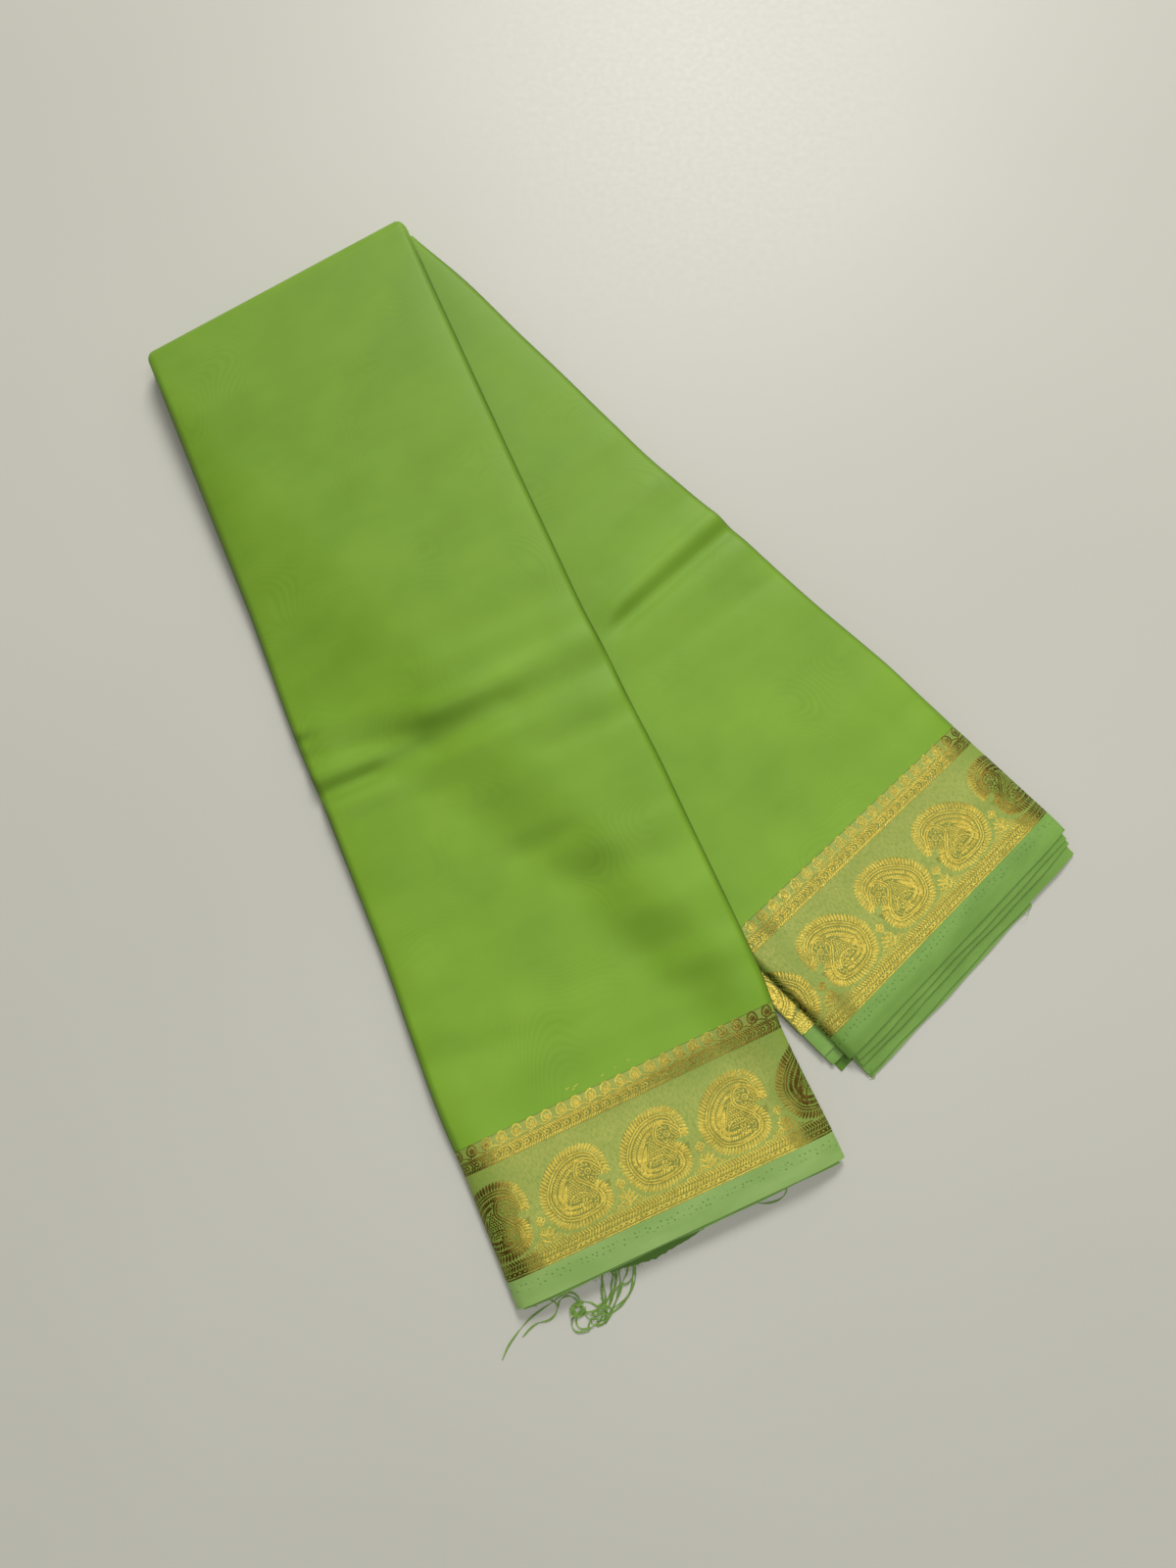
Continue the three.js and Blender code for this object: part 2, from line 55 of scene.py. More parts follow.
# The turn's lower half is drawn in at its right end, so that it doesn't stand out past the lower leg.
FOLD_TUCK = 4.5
CLEARANCE = 0.5
TURN = CLEARANCE / 2
LIFT = LEG_HEIGHT + CLEARANCE
FOLD_RADIUS = TURN + LEG_HEIGHT
LEFT_CURL, RIGHT_CURL = math.radians(70), math.radians(110)
SAG_START, SAG_RUN, SAG_DEPTH = 551.5, 26.0, 3.6
CLOTH = 0.5
# Past the lower leg's left side the upper leg comes down to the table, in a shorter run near its hem.
LOWER_SIDE, RUN_AT_FOLD, RUN_AT_HEM = 94, 78, 46
# The lower leg's creases start where the upper leg no longer covers it.
UPPER_SIDE, UNCOVERED_RUN = 89, 22


def smooth(v):
    """0 to 1, soft at both ends."""
    v = np.clip(v, 0, 1)
    return v * v * (3 - 2 * v)


def ease(table, at, column):
    """A value of a table of stations, eased from one station to the next."""
    table = np.array(table, float)
    i = np.clip(np.searchsorted(table[:, 0], at) - 1, 0, len(table) - 2)
    share = smooth((at - table[i, 0]) / (table[i + 1, 0] - table[i, 0]))
    return table[i, column] + (table[i + 1, column] - table[i, column]) * share


def make_leg(angle, shift, length, edges, creases, shoulders, border_line):
    """What places one leg. Its border line is the gold line at the hem, measured from the fold."""
    turn, fold = math.radians(angle), math.radians(FOLD_ANGLE)
    line = np.array([math.cos(fold), math.sin(fold)])
    return {
        "axis": np.array([math.sin(turn), -math.cos(turn)]),
        "side": np.array([math.cos(turn), math.sin(turn)]),
        "skew": math.tan(turn - fold),
        "origin": FOLD_MIDDLE + shift * line,
        "length": length,
        "edges": edges,
        "creases": creases,
        "shoulders": shoulders,
        "line": border_line,
    }


# Half-widths down each leg, to the left and to the right of its middle line.
UPPER_EDGES = [
    (0, 90.7, 89), (160, 91.7, 89), (262, 94, 89.6), (312, 93, 91.6),
    (380, 93.2, 93.8), (495, 96.6, 95), (530, 95.7, 92.6), (602, 95.7, 95.4),
]
LOWER_EDGES = [
    (0, 90, 87.4), (50, 90, 89.6), (110, 90, 88), (222, 90, 85.6),
    (286, 90, 88), (345, 90, 88.2), (425, 90.5, 90.9), (562, 91, 91),
]

# Ridges and troughs: from (u, s) to (u, s), how far each reaches to its sides, and its height.
UPPER_CREASES = [
    # the old crease across the leg, right of the middle: a hump that falls into a trough
    (286, -14, 284.5, 28, 8, 2.6), (283, 52, 282, 84, 8.5, 1.5), (304, -18, 302, 28, 7, -2.5),
    (300.5, 52, 299, 84, 7, -1.3), (296, 4, 295, 20, 5, -0.5), (264, -10, 262, 92, 9, 0.5),
    (316, 0, 314, 88, 6, 0.5),
    # its sharper end at the left edge, with a ridge right below it
    (294, -98, 295.5, -58, 6.5, 2.0), (305, -98, 305, -60, 5.2, -2.3), (315, -98, 317, -60, 7, 1.3),
    (303, -38, 301, -30, 5, -0.9),
    # the soft dip above them
    (267, -74, 279, -24, 9, 1.1), (287, -64, 296, -14, 6, -1.0),
    (332, -94, 342, 10, 14, 0.8), (326, -70, 330, -20, 5, -0.4),
    # nicks at the left edge
    (264, -100, 265, -88, 3, 0.9), (270, -100, 271, -88, 3, -1.1), (280, -100, 281, -88, 3.4, -0.9),
    # shallow dimples lower down, then soft waves in all the field
    (321, 44, 319, 84, 6, 0.8), (333, 44, 332, 84, 6, -0.9), (369, 0, 371, 26, 6, 0.7),
    (382, 0, 383, 26, 6, -0.8), (390, 28, 396, 70, 8, 1.1), (410, 30, 414, 70, 8, -1.3),
    (437, 40, 441, 80, 8, 1.0), (460, 44, 462, 84, 8, -1.2), (472, 58, 473, 88, 7, 0.7),
    (487, 60, 490, 90, 7, -0.8), (352, -60, 364, -6, 12, 0.45), (246, -40, 250, 70, 9, -0.35),
    (405, -90, 392, -20, 16, -0.55), (430, -60, 425, 6, 12, 0.35), (448, -96, 470, -10, 9, 0.6),
    (466, -96, 484, 4, 8, -0.6), (484, -80, 492, 40, 9, 0.5), (504, -60, 500, 60, 7, -0.4),
    (208, -90, 196, -20, 14, 0.5), (226, -94, 216, -40, 9, -0.5), (172, -20, 150, 70, 18, -0.5),
    (140, 10, 120, 80, 18, 0.55), (96, -90, 74, 0, 18, -0.5), (62, -80, 54, 10, 14, 0.4),
    (40, -40, 46, 70, 12, -0.3),
    # slight waves in the border
    (518, -20, 513, 60, 9, 0.7), (533, -12, 529, 50, 8, -0.5), (558, 34, 548, 84, 9, 0.8),
    (572, -60, 566, -10, 10, 0.35),
]
LOWER_CREASES = [
    (250, 0, 252, 90, 9, 0.7), (286, -30, 289, 92, 6.0, 2.2), (297, -30, 301, 92, 5.0, -2.1),
    (311, 0, 316, 90, 7, 0.7), (268, 10, 270, 90, 5, -0.4), (323, -34, 340, 80, 6, -0.5),
    (350, 20, 362, 90, 10, 0.4), (372, -60, 352, 10, 13, -0.5), (418, -80, 402, 30, 12, 0.55),
    (446, -40, 452, 86, 9, -0.5), (430, 50, 424, 92, 9, 0.5), (214, 20, 206, 90, 12, 0.45),
    (226, 30, 224, 90, 8, -0.4), (150, 60, 132, 90, 13, -0.4), (486, -20, 482, 40, 9, 0.5),
    (518, 44, 508, 92, 9, 0.7), (530, -80, 522, -52, 8, 0.6), (540, -20, 536, 30, 9, -0.35),
]

# How far the cloth slopes down at its left and right: (reach, drop) in the field, then at the border.
UPPER_SHOULDERS = [((22, 1.6), (21, 4.4)), ((20, 1.4), (27, 5.2))]
LOWER_SHOULDERS = [((20, 1.2), (18, 2.6)), ((20, 1.3), (25, 4.8))]

UPPER = make_leg(23.6, -FOLD_SHIFT, 601.6, UPPER_EDGES, UPPER_CREASES, UPPER_SHOULDERS, 586.9)
LOWER = make_leg(44.6, FOLD_SHIFT, 562.0, LOWER_EDGES, LOWER_CREASES, LOWER_SHOULDERS, 547.0)


def within(leg, x, y, way):
    """How far a spot lies from the start of a leg's middle line, down it or to its side."""
    return leg[way][0] * (x - leg["origin"][0]) + leg[way][1] * (y - leg["origin"][1])


def relief(leg, a, across):
    """How high the creases stand at a place."""
    total = np.zeros(np.broadcast(a, across).shape)
    for u0, s0, u1, s1, reach, height in leg["creases"]:
        share = (across - s0) / (s1 - s0)
        inside = np.clip(share, 0, 1)
        away = (a - (u0 + (u1 - u0) * inside)) / reach
        past = (share - inside) * (s1 - s0) / (2 * reach)
        total = total + height * np.exp(-away * away - past * past)
    return total


def shoulder(leg, u, across):
    """How far the cloth has come down towards its side, more so at the border."""
    at_border = smooth((u - leg["line"] + 120) / 70)
    drop = np.zeros(np.broadcast(u, across).shape)
    for side, (field, border) in zip((-1, 1), leg["shoulders"]):
        half = half_width(leg, u, side < 0)
        reach = field[0] + (border[0] - field[0]) * at_border
        depth = field[1] + (border[1] - field[1]) * at_border
        share = np.clip((side * across - half + reach) / reach, 0, 1)
        drop = drop + depth * share * share
    return drop


def leg_point(leg, u, across, height):
    """A point of a leg: down from the fold line, across from the middle line, up in the stack."""
    a = u + across * leg["skew"] * (1 - u / leg["length"])
    x = leg["origin"][0] + a * leg["axis"][0] + across * leg["side"][0]
    y = leg["origin"][1] + a * leg["axis"][1] + across * leg["side"][1]
    share = np.clip((height - STEP_TOP) / (TOP - STEP_TOP), 0, 1)
    base = np.zeros_like(x)
    if leg is UPPER:
        far = smooth((within(UPPER, x, y, "axis") - 250) / 170)
        past = -within(LOWER, x, y, "side") - LOWER_SIDE
        base = LIFT * smooth(1 - past / (RUN_AT_FOLD + (RUN_AT_HEM - RUN_AT_FOLD) * far))
    else:
        share = share * smooth((within(UPPER, x, y, "side") - UPPER_SIDE) / UNCOVERED_RUN)
    lowered = np.clip(height / TOP, 0, 1) if leg is UPPER else share
    lowered = lowered * smooth(u / 60)
    z = base + height + share * relief(leg, a, across) - lowered * shoulder(leg, u, across)
    if leg is LOWER:
        z = z - SAG_DEPTH * smooth((u - SAG_START) / SAG_RUN) * (height > STEP_TOP)
    return np.stack([x, y, z], -1)


def fold_point(turned, across, radius):
    """A point of the turn at the fold: 0 on top and pi underneath."""
    zero = np.zeros_like(across)
    share = (turned / math.pi)[..., None]
    tucked = across - FOLD_TUCK * smooth(across / 80)
    start = leg_point(UPPER, zero, across, zero) * (1 - share) + leg_point(LOWER, zero, tucked, zero) * share
    fold = math.radians(FOLD_ANGLE)
    out = radius * np.sin(turned)
    return np.stack(
        [start[..., 0] - math.sin(fold) * out, start[..., 1] + math.cos(fold) * out,
         LIFT - TURN + radius * np.cos(turned)], -1)


def half_width(leg, u, left):
    """From a leg's middle line to its left or right edge."""
    return ease(leg["edges"], np.maximum(u, 0), 1 if left else 2)


def cloth_point(leg, u, s, off=0.0):
    """A point of the showing ply's outer face, or off above it. u below 0 goes round the fold."""
    u, s, off = np.broadcast_arrays(np.asarray(u, float), np.asarray(s, float), np.asarray(off, float))
    half = np.where(s < 0, half_width(leg, u, True), half_width(leg, u, False)) - RADIUS
    turned = np.maximum(np.abs(s) - half, 0) / RADIUS
    across = np.sign(s) * (np.minimum(np.abs(s), half) + (RADIUS + off) * np.sin(turned))
    height = RADIUS + (RADIUS + off) * np.cos(turned)
    flat = leg_point(leg, np.maximum(u, 0), across, height)
    if leg is LOWER:
        return flat
    turn = np.clip(-u / FOLD_RADIUS, 0, math.pi)
    return np.where((u < 0)[..., None], fold_point(turn, across, TURN + height), flat)


# Meshes


def make(name, verts, faces, uv, turned=None):
    """A mesh object from points in millimetres. uv has a pair for each point, turned a share of painted
    shade for each.
    """
    mesh = bpy.data.meshes.new(name)
    mesh.from_pydata([tuple(v) for v in np.asarray(verts) * 0.001], [], [tuple(f) for f in faces])
    mesh.update()
    obj = bpy.data.objects.new(name, mesh)
    bpy.context.scene.collection.objects.link(obj)
    mesh.polygons.foreach_set("use_smooth", [True] * len(mesh.polygons))
    layer = mesh.uv_layers.new(name="cloth")
    index = np.zeros(len(mesh.loops), int)
    mesh.loops.foreach_get("vertex_index", index)
    layer.data.foreach_set("uv", (np.asarray(uv)[index] * 0.001).ravel())
    if turned is not None:
        mesh.attributes.new("turned", "FLOAT", "POINT").data.foreach_set("value", np.asarray(turned, float))
    return obj


def pair(a, b):
    """Two coordinates of many points, side by side."""
    return np.stack(np.broadcast_arrays(a, b), -1)


def girth(ring):
    """How far round a ring each of its points lies."""
    return np.concatenate([[0], np.cumsum(np.linalg.norm(np.diff(ring, axis=0), axis=1))])


def sharpen(obj, angle=40):
    """Edges past an angle stay crisp."""
    obj.data.set_sharp_from_angle(angle=math.radians(angle))
    return obj


def wall(name, outer, inner, uv, turned=None):
    """A closed shell between two grids of points."""
    rows, columns = outer.shape[:2]
    at = np.arange(rows * columns).reshape(rows, columns)
    low = at + rows * columns
    faces = []
    for a, flip in ((at, False), (low, True)):
        q = np.stack([a[:-1, :-1], a[1:, :-1], a[1:, 1:], a[:-1, 1:]], -1).reshape(-1, 4)
        faces += list(q[:, ::-1] if flip else q)
    for line, other in ((at[:, 0], low[:, 0]), (at[::-1, -1], low[::-1, -1]),
                        (at[0, ::-1], low[0, ::-1]), (at[-1], low[-1])):
        faces += list(np.stack([line[:-1], other[:-1], other[1:], line[1:]], -1))
    verts = np.concatenate([outer.reshape(-1, 3), inner.reshape(-1, 3)])
    pairs = np.concatenate([uv.reshape(-1, 2)] * 2)
    shares = None if turned is None else np.tile(turned.ravel(), 2)
    return sharpen(make(name, verts, faces, pairs, turned=shares))


def showing(name, leg, rows, cloth=CLOTH, columns=44, arc=9):
    """A stretch of the ply that shows, with its rounded sides."""
    u = np.array(rows, float)[:, None]
    flat = np.linspace(-1, 1, columns)
    left, right = (half_width(leg, u[:, 0], side)[:, None] for side in (True, False))
    sides = np.concatenate([
        -(left - RADIUS) - RADIUS * np.linspace(LEFT_CURL, 0, arc)[None, :-1],
        np.where(flat < 0, flat * (left - RADIUS), flat * (right - RADIUS)),
        (right - RADIUS) + RADIUS * np.linspace(0, RIGHT_CURL, arc + 3)[None, 1:],
    ], axis=1)
    grids = [cloth_point(leg, u, sides, off) for off in (0.0, -cloth)]
    turned = painted_shade(leg, *np.broadcast_arrays(u, sides))
    return wall(name, *grids, pair(sides, u), turned)


def ring_solid(name, rings, uv, inner=None, smooth_angle=50):
    """A solid through closed rings. With inner rings it is a hollow flattened tube."""
    rows, count = rings.shape[:2]
    at = np.arange(rows * count).reshape(rows, count)
    ahead = np.roll(at, -1, axis=1)
    faces = list(np.stack([at[:-1], at[1:], ahead[1:], ahead[:-1]], -1).reshape(-1, 4))
    verts, pairs = [rings.reshape(-1, 3)], [uv.reshape(-1, 2)]
    if inner is None:
        faces += [tuple(at[0]), tuple(at[-1, ::-1])]
    else:
        low, under = at + rows * count, ahead + rows * count
        faces += list(np.stack([low[:-1], under[:-1], under[1:], low[1:]], -1).reshape(-1, 4))
        faces += list(np.stack([at[0], ahead[0], under[0], low[0]], -1))
        faces += list(np.stack([at[-1], low[-1], under[-1], ahead[-1]], -1))
        verts.append(inner.reshape(-1, 3))
        pairs.append(uv.reshape(-1, 2))
    return sharpen(make(name, np.concatenate(verts), faces, np.concatenate(pairs)), smooth_angle)


# The showing ply's rounded sides end at these heights, and the plies below them are bare.
LEFT_BARE, RIGHT_BARE = 6.25, 2.45


def inset_at(height, bare_below):
    """How far the inner plies lie inside a leg's rounded edge, which they follow."""
    radius = RADIUS - 0.4 - (PLY if height > bare_below else 0)
    rise = min(abs(height - RADIUS), radius)
    return RADIUS - math.sqrt(radius ** 2 - rise ** 2)


def left_inset(height):
    return inset_at(height, LEFT_BARE)


def right_inset(height):
    return inset_at(height, RIGHT_BARE)


# Each ply of a pile shows as two leaves, with creases this deep between them.
LEAVES, LEAF_CREASE, LEAF_ROUND, LEAF_GAP = 2, 0.55, 0.12, 0.04
PILE_COLUMNS = 22


def pile_section(low, high, left, right):
    """A pile of folded leaves as a ring of (side, inset or share, height): the folds bulge at both sides."""
    count = int(round((high - low) / (PITCH / LEAVES)))
    tall = (high - low) / count
    sides = {}
    for key, inset in ((-1, left), (1, right)):
        points = []
        for i in range(count):
            bottom = low + i * (high - low) / count
            wobble = 0.12 * math.sin(i * 2.4 + key)
            depth = inset(bottom + tall / 2)
            points += [(key, depth + LEAF_CREASE, bottom + LEAF_GAP),
                       (key, depth + LEAF_ROUND + wobble, bottom + 0.25 * tall),
                       (key, depth + wobble, bottom + tall / 2),
                       (key, depth + LEAF_ROUND + wobble, bottom + 0.75 * tall),
                       (key, depth + LEAF_CREASE, bottom + tall - LEAF_GAP)]
        sides[key] = points
    shares = np.linspace(-1, 1, PILE_COLUMNS)[1:-1]
    top = [(0, share, high) for share in shares]
    bottom = [(0, share, low) for share in shares]
    return sides[-1] + top + sides[1][::-1] + bottom[::-1]


def stand_out(u, reach):
    """How far a ply stands out at the left: not at the fold, and in full near the hem."""
    return reach * smooth((u - 200) / 250)


def pile_rings(leg, rows, section, out=0.0, turned=None):
    """Rings of a pile down a leg, or round the fold at the angles in turned."""
    u = np.array(rows, float)
    left = half_width(leg, u, True) + stand_out(u, out)
    right = half_width(leg, u, False)
    points = []
    for side, value, height in section:
        if side:
            across = side * ((left if side < 0 else right) - value)
        else:
            across = np.where(value < 0, value * (left - RADIUS), value * (right - RADIUS))
        tall = np.full_like(across, height)
        if turned is None:
            points.append(leg_point(leg, u, across, tall))
        else:
            radius = TURN + (tall if leg is UPPER else LEG_HEIGHT - tall)
            points.append(fold_point(np.array(turned, float), across, radius))
    rings = np.stack(points, 1)
    length = u if turned is None else np.array(turned) * FOLD_RADIUS
    return rings, pair(girth(rings[0])[None, :], length[:, None])


def pile(name, leg, rows, low, high, left, right, out=0.0, turned=None):
    """A pile from one height to another. left and right say how far it lies in at a height."""
    rings, uv = pile_rings(leg, rows, pile_section(low, high, left, right), out, turned)
    return ring_solid(name, rings, uv)


# A hem's edge ripples over this much of its end.
RIPPLE_RUN = 24


def tube(name, leg, rows, slot, left, right, out=0.0, wave=0.0, cloth=0.34):
    """One ply near its hem: the strip's cloth folded double, as a flattened tube with an open end."""
    u = np.array(rows, float)
    low, high = slot * PITCH + 0.02, slot * PITCH + PLY
    middle, radius = (low + high) / 2, (high - low) / 2
    left_in = (left_inset(middle) if out == 0 else 0) + left
    left_edge = half_width(leg, u, True) + stand_out(u, out) - left_in - radius
    right_edge = half_width(leg, u, False) - (right_inset(middle) + right) - radius
    near_end = smooth((u - (u[-1] - RIPPLE_RUN)) / RIPPLE_RUN)
    turn = np.linspace(-math.pi / 2, math.pi / 2, 7)
    shares = np.linspace(0, 1, 46)[1:-1]

    def rings(bend):
        """Rings down the leg, whose sides are bent to this radius."""
        points = [(-(left_edge + bend * math.cos(a)), middle + bend * math.sin(a)) for a in turn]
        points += [(-left_edge + share * (left_edge + right_edge), middle + bend) for share in shares]
        points += [(right_edge + bend * math.cos(a), middle + bend * math.sin(a)) for a in turn[::-1]]
        points += [(-left_edge + share * (left_edge + right_edge), middle - bend) for share in shares[::-1]]
        lines = []
        for across, height in points:
            swing = np.sin(across * 0.071 + slot) + 0.6 * np.sin(across * 0.163 + 2.1 * slot)
            lines.append(leg_point(leg, u + wave * near_end * swing, across, np.full_like(across, height)))
        return np.stack(lines, 1)

    outer = rings(radius)
    uv = pair(girth(outer[0])[None, :], u[:, None])
    return ring_solid(name, outer, uv, rings(radius - cloth))


# The woven pattern
# Strokes of gold thread, drawn in millimetres: x along the border and y up from the gold line at
# the hem towards the field. Each stands a little proud of the cloth along its middle.


def curve(points, step=1.0, closed=False):
    """Points about a step apart on a smooth curve through some points."""
    p = np.array(points, float)
    if closed:
        p = np.concatenate([p[-1:], p, p[:2]])
    else:
        p = np.concatenate([2 * p[:1] - p[1:2], p, 2 * p[-1:] - p[-2:-1]])
    t = np.linspace(0, 1, 12, endpoint=False)[:, None]
    parts = []
    for a, b, c, d in zip(p[:-3], p[1:-2], p[2:-1], p[3:]):
        parts.append(0.5 * (2 * b + (c - a) * t + (2 * a - 5 * b + 4 * c - d) * t * t
                            + (3 * b - a - 3 * c + d) * t ** 3))
    dense = np.concatenate(parts + [p[-2:-1]])
    length = np.concatenate([[0], np.cumsum(np.hypot(*np.diff(dense, axis=0).T))])
    at = np.linspace(0, length[-1], max(2, int(round(length[-1] / step)) + 1))
    return np.stack([np.interp(at, length, dense[:, 0]), np.interp(at, length, dense[:, 1])], 1)


def normals(points):
    """Unit vectors to the left of a line, at its points."""
    d = np.gradient(points, axis=0)
    d /= np.maximum(np.hypot(*d.T), 1e-9)[:, None]
    return np.stack([-d[:, 1], d[:, 0]], 1)


class Strokes:
    """Raised strokes, each its own few points and faces."""

    def __init__(self):
        self.items = []

    def add(self, left, middle, right, height):
        """A stroke between two edges, raised along its middle."""
        n = len(middle)
        low = np.full((n, 1), -0.05)
        tall = np.reshape(np.broadcast_to(height, n), (n, 1))
        verts = np.concatenate([np.hstack([left, low]), np.hstack([middle, tall]), np.hstack([right, low])])
        i = np.arange(n - 1)
        faces = np.concatenate([np.stack([i + k * n, i + 1 + k * n, i + 1 + (k + 1) * n, i + (k + 1) * n], 1)
                                for k in (0, 1)])[:, ::-1]
        self.items.append((verts, faces))

    def line(self, points, width, height=0.2, step=1.2, closed=False, smooth_line=True):
        """A stroke of even width along some points."""
        p = curve(points, step, closed) if smooth_line else np.array(points, float)
        n = normals(p) * width / 2
        self.add(p + n, p, p - n, height)
        return p

    def leaf(self, root, tip, width, bend=0.0, height=0.24):
        """A pointed, rounded stroke from its root to its tip."""
        root, tip = np.array(root, float), np.array(tip, float)
        way = tip - root
        side = np.array([-way[1], way[0]]) / max(np.hypot(*way), 1e-9)
        t = np.array([0, 0.2, 0.5, 0.8, 1.0])
        w = np.array([0.45, 0.85, 1, 0.8, 0.2])[:, None] * width / 2
        p = root + t[:, None] * way + side * (bend * np.sin(np.pi * t))[:, None]
        self.add(p + side * w, p, p - side * w, height * np.array([0.5, 0.9, 1, 0.9, 0.4]))

    def stitch(self, centre, way, length=1.25, width=0.95, height=0.2):
        """A short blunt stroke."""
        side = np.array([-way[1], way[0]]) / max(np.hypot(*way), 1e-9)
        way = np.array([side[1], -side[0]])
        p = centre + np.array([-0.5, 0, 0.5])[:, None] * length * way
        w = np.array([0.7, 1, 0.7])[:, None] * width / 2
        self.add(p + side * w, p, p - side * w, height * np.array([0.7, 1, 0.7]))

    def circle(self, centre, radius, width=0.6, height=0.2, count=10):
        t = np.linspace(0, 2 * math.pi, count + 1)
        ring = np.stack([np.cos(t), np.sin(t)], 1)
        c = np.array(centre, float)
        self.add(c + ring * (radius - width / 2), c + ring * radius, c + ring * (radius + width / 2), height)

    def dot(self, centre, radius, height=0.2):
        self.circle(centre, radius * 0.5, radius, height, 8)

    def samples(self):
        """Spots along the middle of every stroke."""
        return np.concatenate([v[len(v) // 3: 2 * len(v) // 3, :2] for v, _ in self.items])

    def put(self, other, x, mirror):
        """Other strokes, moved along the border and mirrored where mirror is -1."""
        for verts, faces in other.items:
            moved = verts.copy()
            moved[:, 0] = x + mirror * moved[:, 0]
            self.items.append((moved, faces if mirror > 0 else faces[:, ::-1]))


# From one paisley to the next, and how far the pattern runs each way from a leg's middle line.
MOTIF_PITCH, PATTERN_REACH = 46.3, 104

# One paisley's outline from its notch all round, and the double line that swirls inside it.
OUTLINE = [
    (13.2, 29.4), (16.2, 26.4), (17.4, 21.8), (16.8, 16.5), (13.4, 12.3), (8, 10.1), (0, 9.2), (-7.5, 9.9),
    (-14.6, 13.2), (-19.2, 20.2), (-21, 28.5), (-18.9, 36), (-13.2, 43.4), (-5, 49), (4, 51.1), (12, 50),
    (18, 45.9), (20.5, 40), (21.1, 34.3), (20.4, 29.4),
]
SWIRL = [
    (19.0, 30.2), (15.8, 35.0), (12.7, 39.3), (9.3, 41.4), (5.4, 41.2), (2.9, 37.9), (2.6, 33.6),
    (6.3, 29.6), (10.3, 25), (11.5, 20.4), (9.9, 16.6),
]


def inside(outline, spot):
    """Whether a spot lies within a closed outline."""
    a, b = outline, np.roll(outline, -1, axis=0)
    crossing = (a[:, 1] > spot[1]) != (b[:, 1] > spot[1])
    rise = np.where(crossing, b[:, 1] - a[:, 1], 1)
    return (crossing & (spot[0] < a[:, 0] + (spot[1] - a[:, 1]) / rise * (b[:, 0] - a[:, 0]))).sum() % 2 == 1


RIM = curve(OUTLINE, 0.5)
INWARD = -normals(RIM)
if ((RIM.mean(0) - RIM) * INWARD).sum() < 0:
    INWARD = -INWARD


def paisley():
    """One large paisley: petals all round, a double rim, a swirl, and scrolls of leaves within."""
    out = Strokes()

    def offset(depth, first=0.0, last=1.0):
        i = np.arange(int(first * (len(RIM) - 1)), int(last * (len(RIM) - 1)) + 1)
        return RIM[i] + INWARD[i] * depth

    for i in range(0, len(RIM), 4):
        j = min(max(i - 3, 0), len(RIM) - 1)
        out.leaf(RIM[j] + INWARD[j] * 4.2, RIM[i] + INWARD[i] * 0.1, 1.62, 0.15)
    out.line(offset(4.95)[::3], 1.0, 0.24)
    out.line(offset(6.35, 0.05, 0.93)[::3], 1.0, 0.26)
    swirl = curve(SWIRL, 1.0)
    side = normals(swirl)
    out.line(swirl + side * 0.68, 1.0, 0.25, 1.0)
    out.line(swirl - side * 0.68, 1.0, 0.25, 1.0)
    for depth, first, last, length, width in ((7.4, 0.2, 0.84, 2.3, 1.35), (10.2, 0.24, 0.72, 2.1, 1.3)):
        line = offset(depth, first, last)
        deep = offset(depth + length, first, last)
        for i in range(3, len(line), 4):
            out.leaf(deep[i - 3], line[i], width)
    out.leaf((-9.2, 21.5), (-3.6, 33.5), 2.8, 0.8, 0.3)
    out.line([(-11.3, 20.5), (-8.7, 29), (-3.0, 36.2)], 0.8)
    flower = np.array([2.2, 20.2])
    out.circle(flower, 0.8, 0.8)
    for k in range(7):
        a = 2 * math.pi * k / 7 + 0.2
        way = np.array([math.cos(a), math.sin(a)])
        out.leaf(flower + way * 1.4, flower + way * 3.4, 1.5)
    out.line([(-8, 17.5), (-5, 24.5), (0.5, 26.8), (5.2, 24.8), (7.4, 21)], 0.95)
    out.line([(-3.5, 15.2), (0.5, 15.0), (5, 15.8), (8, 18.4)], 0.9)
    head = np.array([9.2, 35.2])
    out.circle(head, 1.5, 0.8)
    out.dot(head, 0.6)
    for a in (0.4, 1.4, 2.4, 3.4, 4.4, 5.4):
        way = np.array([math.cos(a), math.sin(a)])
        out.leaf(head + way * 2.4, head + way * 4.1, 1.2)

    def room(spot, away):
        by_the_notch = 8.5 < spot[0] < 19.6 and 26.5 < spot[1] < 34
        return inside(RIM, spot) and away > (1.2 if by_the_notch else 4.9)

    fill(out, (-20, 21), (10, 51), room)
    return out


# The small stitches stand in rows this far apart, this far from each other and clear of other strokes.
STITCH_ROW, STITCH_STEP, STITCH_ROOM = 1.2, 1.42, 0.92


def fill(out, wide, tall, allowed):
    """Small stitches wherever the pattern still has room."""
    taken = out.samples()
    both = np.concatenate([RIM, RIM + (MOTIF_PITCH, 0)])
    for row, y in enumerate(np.arange(*tall, STITCH_ROW)):
        for x in np.arange(*wide, STITCH_STEP) + 0.7 * (row % 2):
            spot = np.array([x, y])
            distance = np.hypot(*(both - spot).T)
            i = np.argmin(distance)
            if not allowed(spot, distance[i]) or np.hypot(*(taken - spot).T).min() < STITCH_ROOM:
                continue
            inward = INWARD[i % len(RIM)]
            way = np.array([inward[1], -inward[0]]) + 0.5 * inward * (-1) ** row
            out.stitch(spot, way)
            taken = np.vstack([taken, spot])


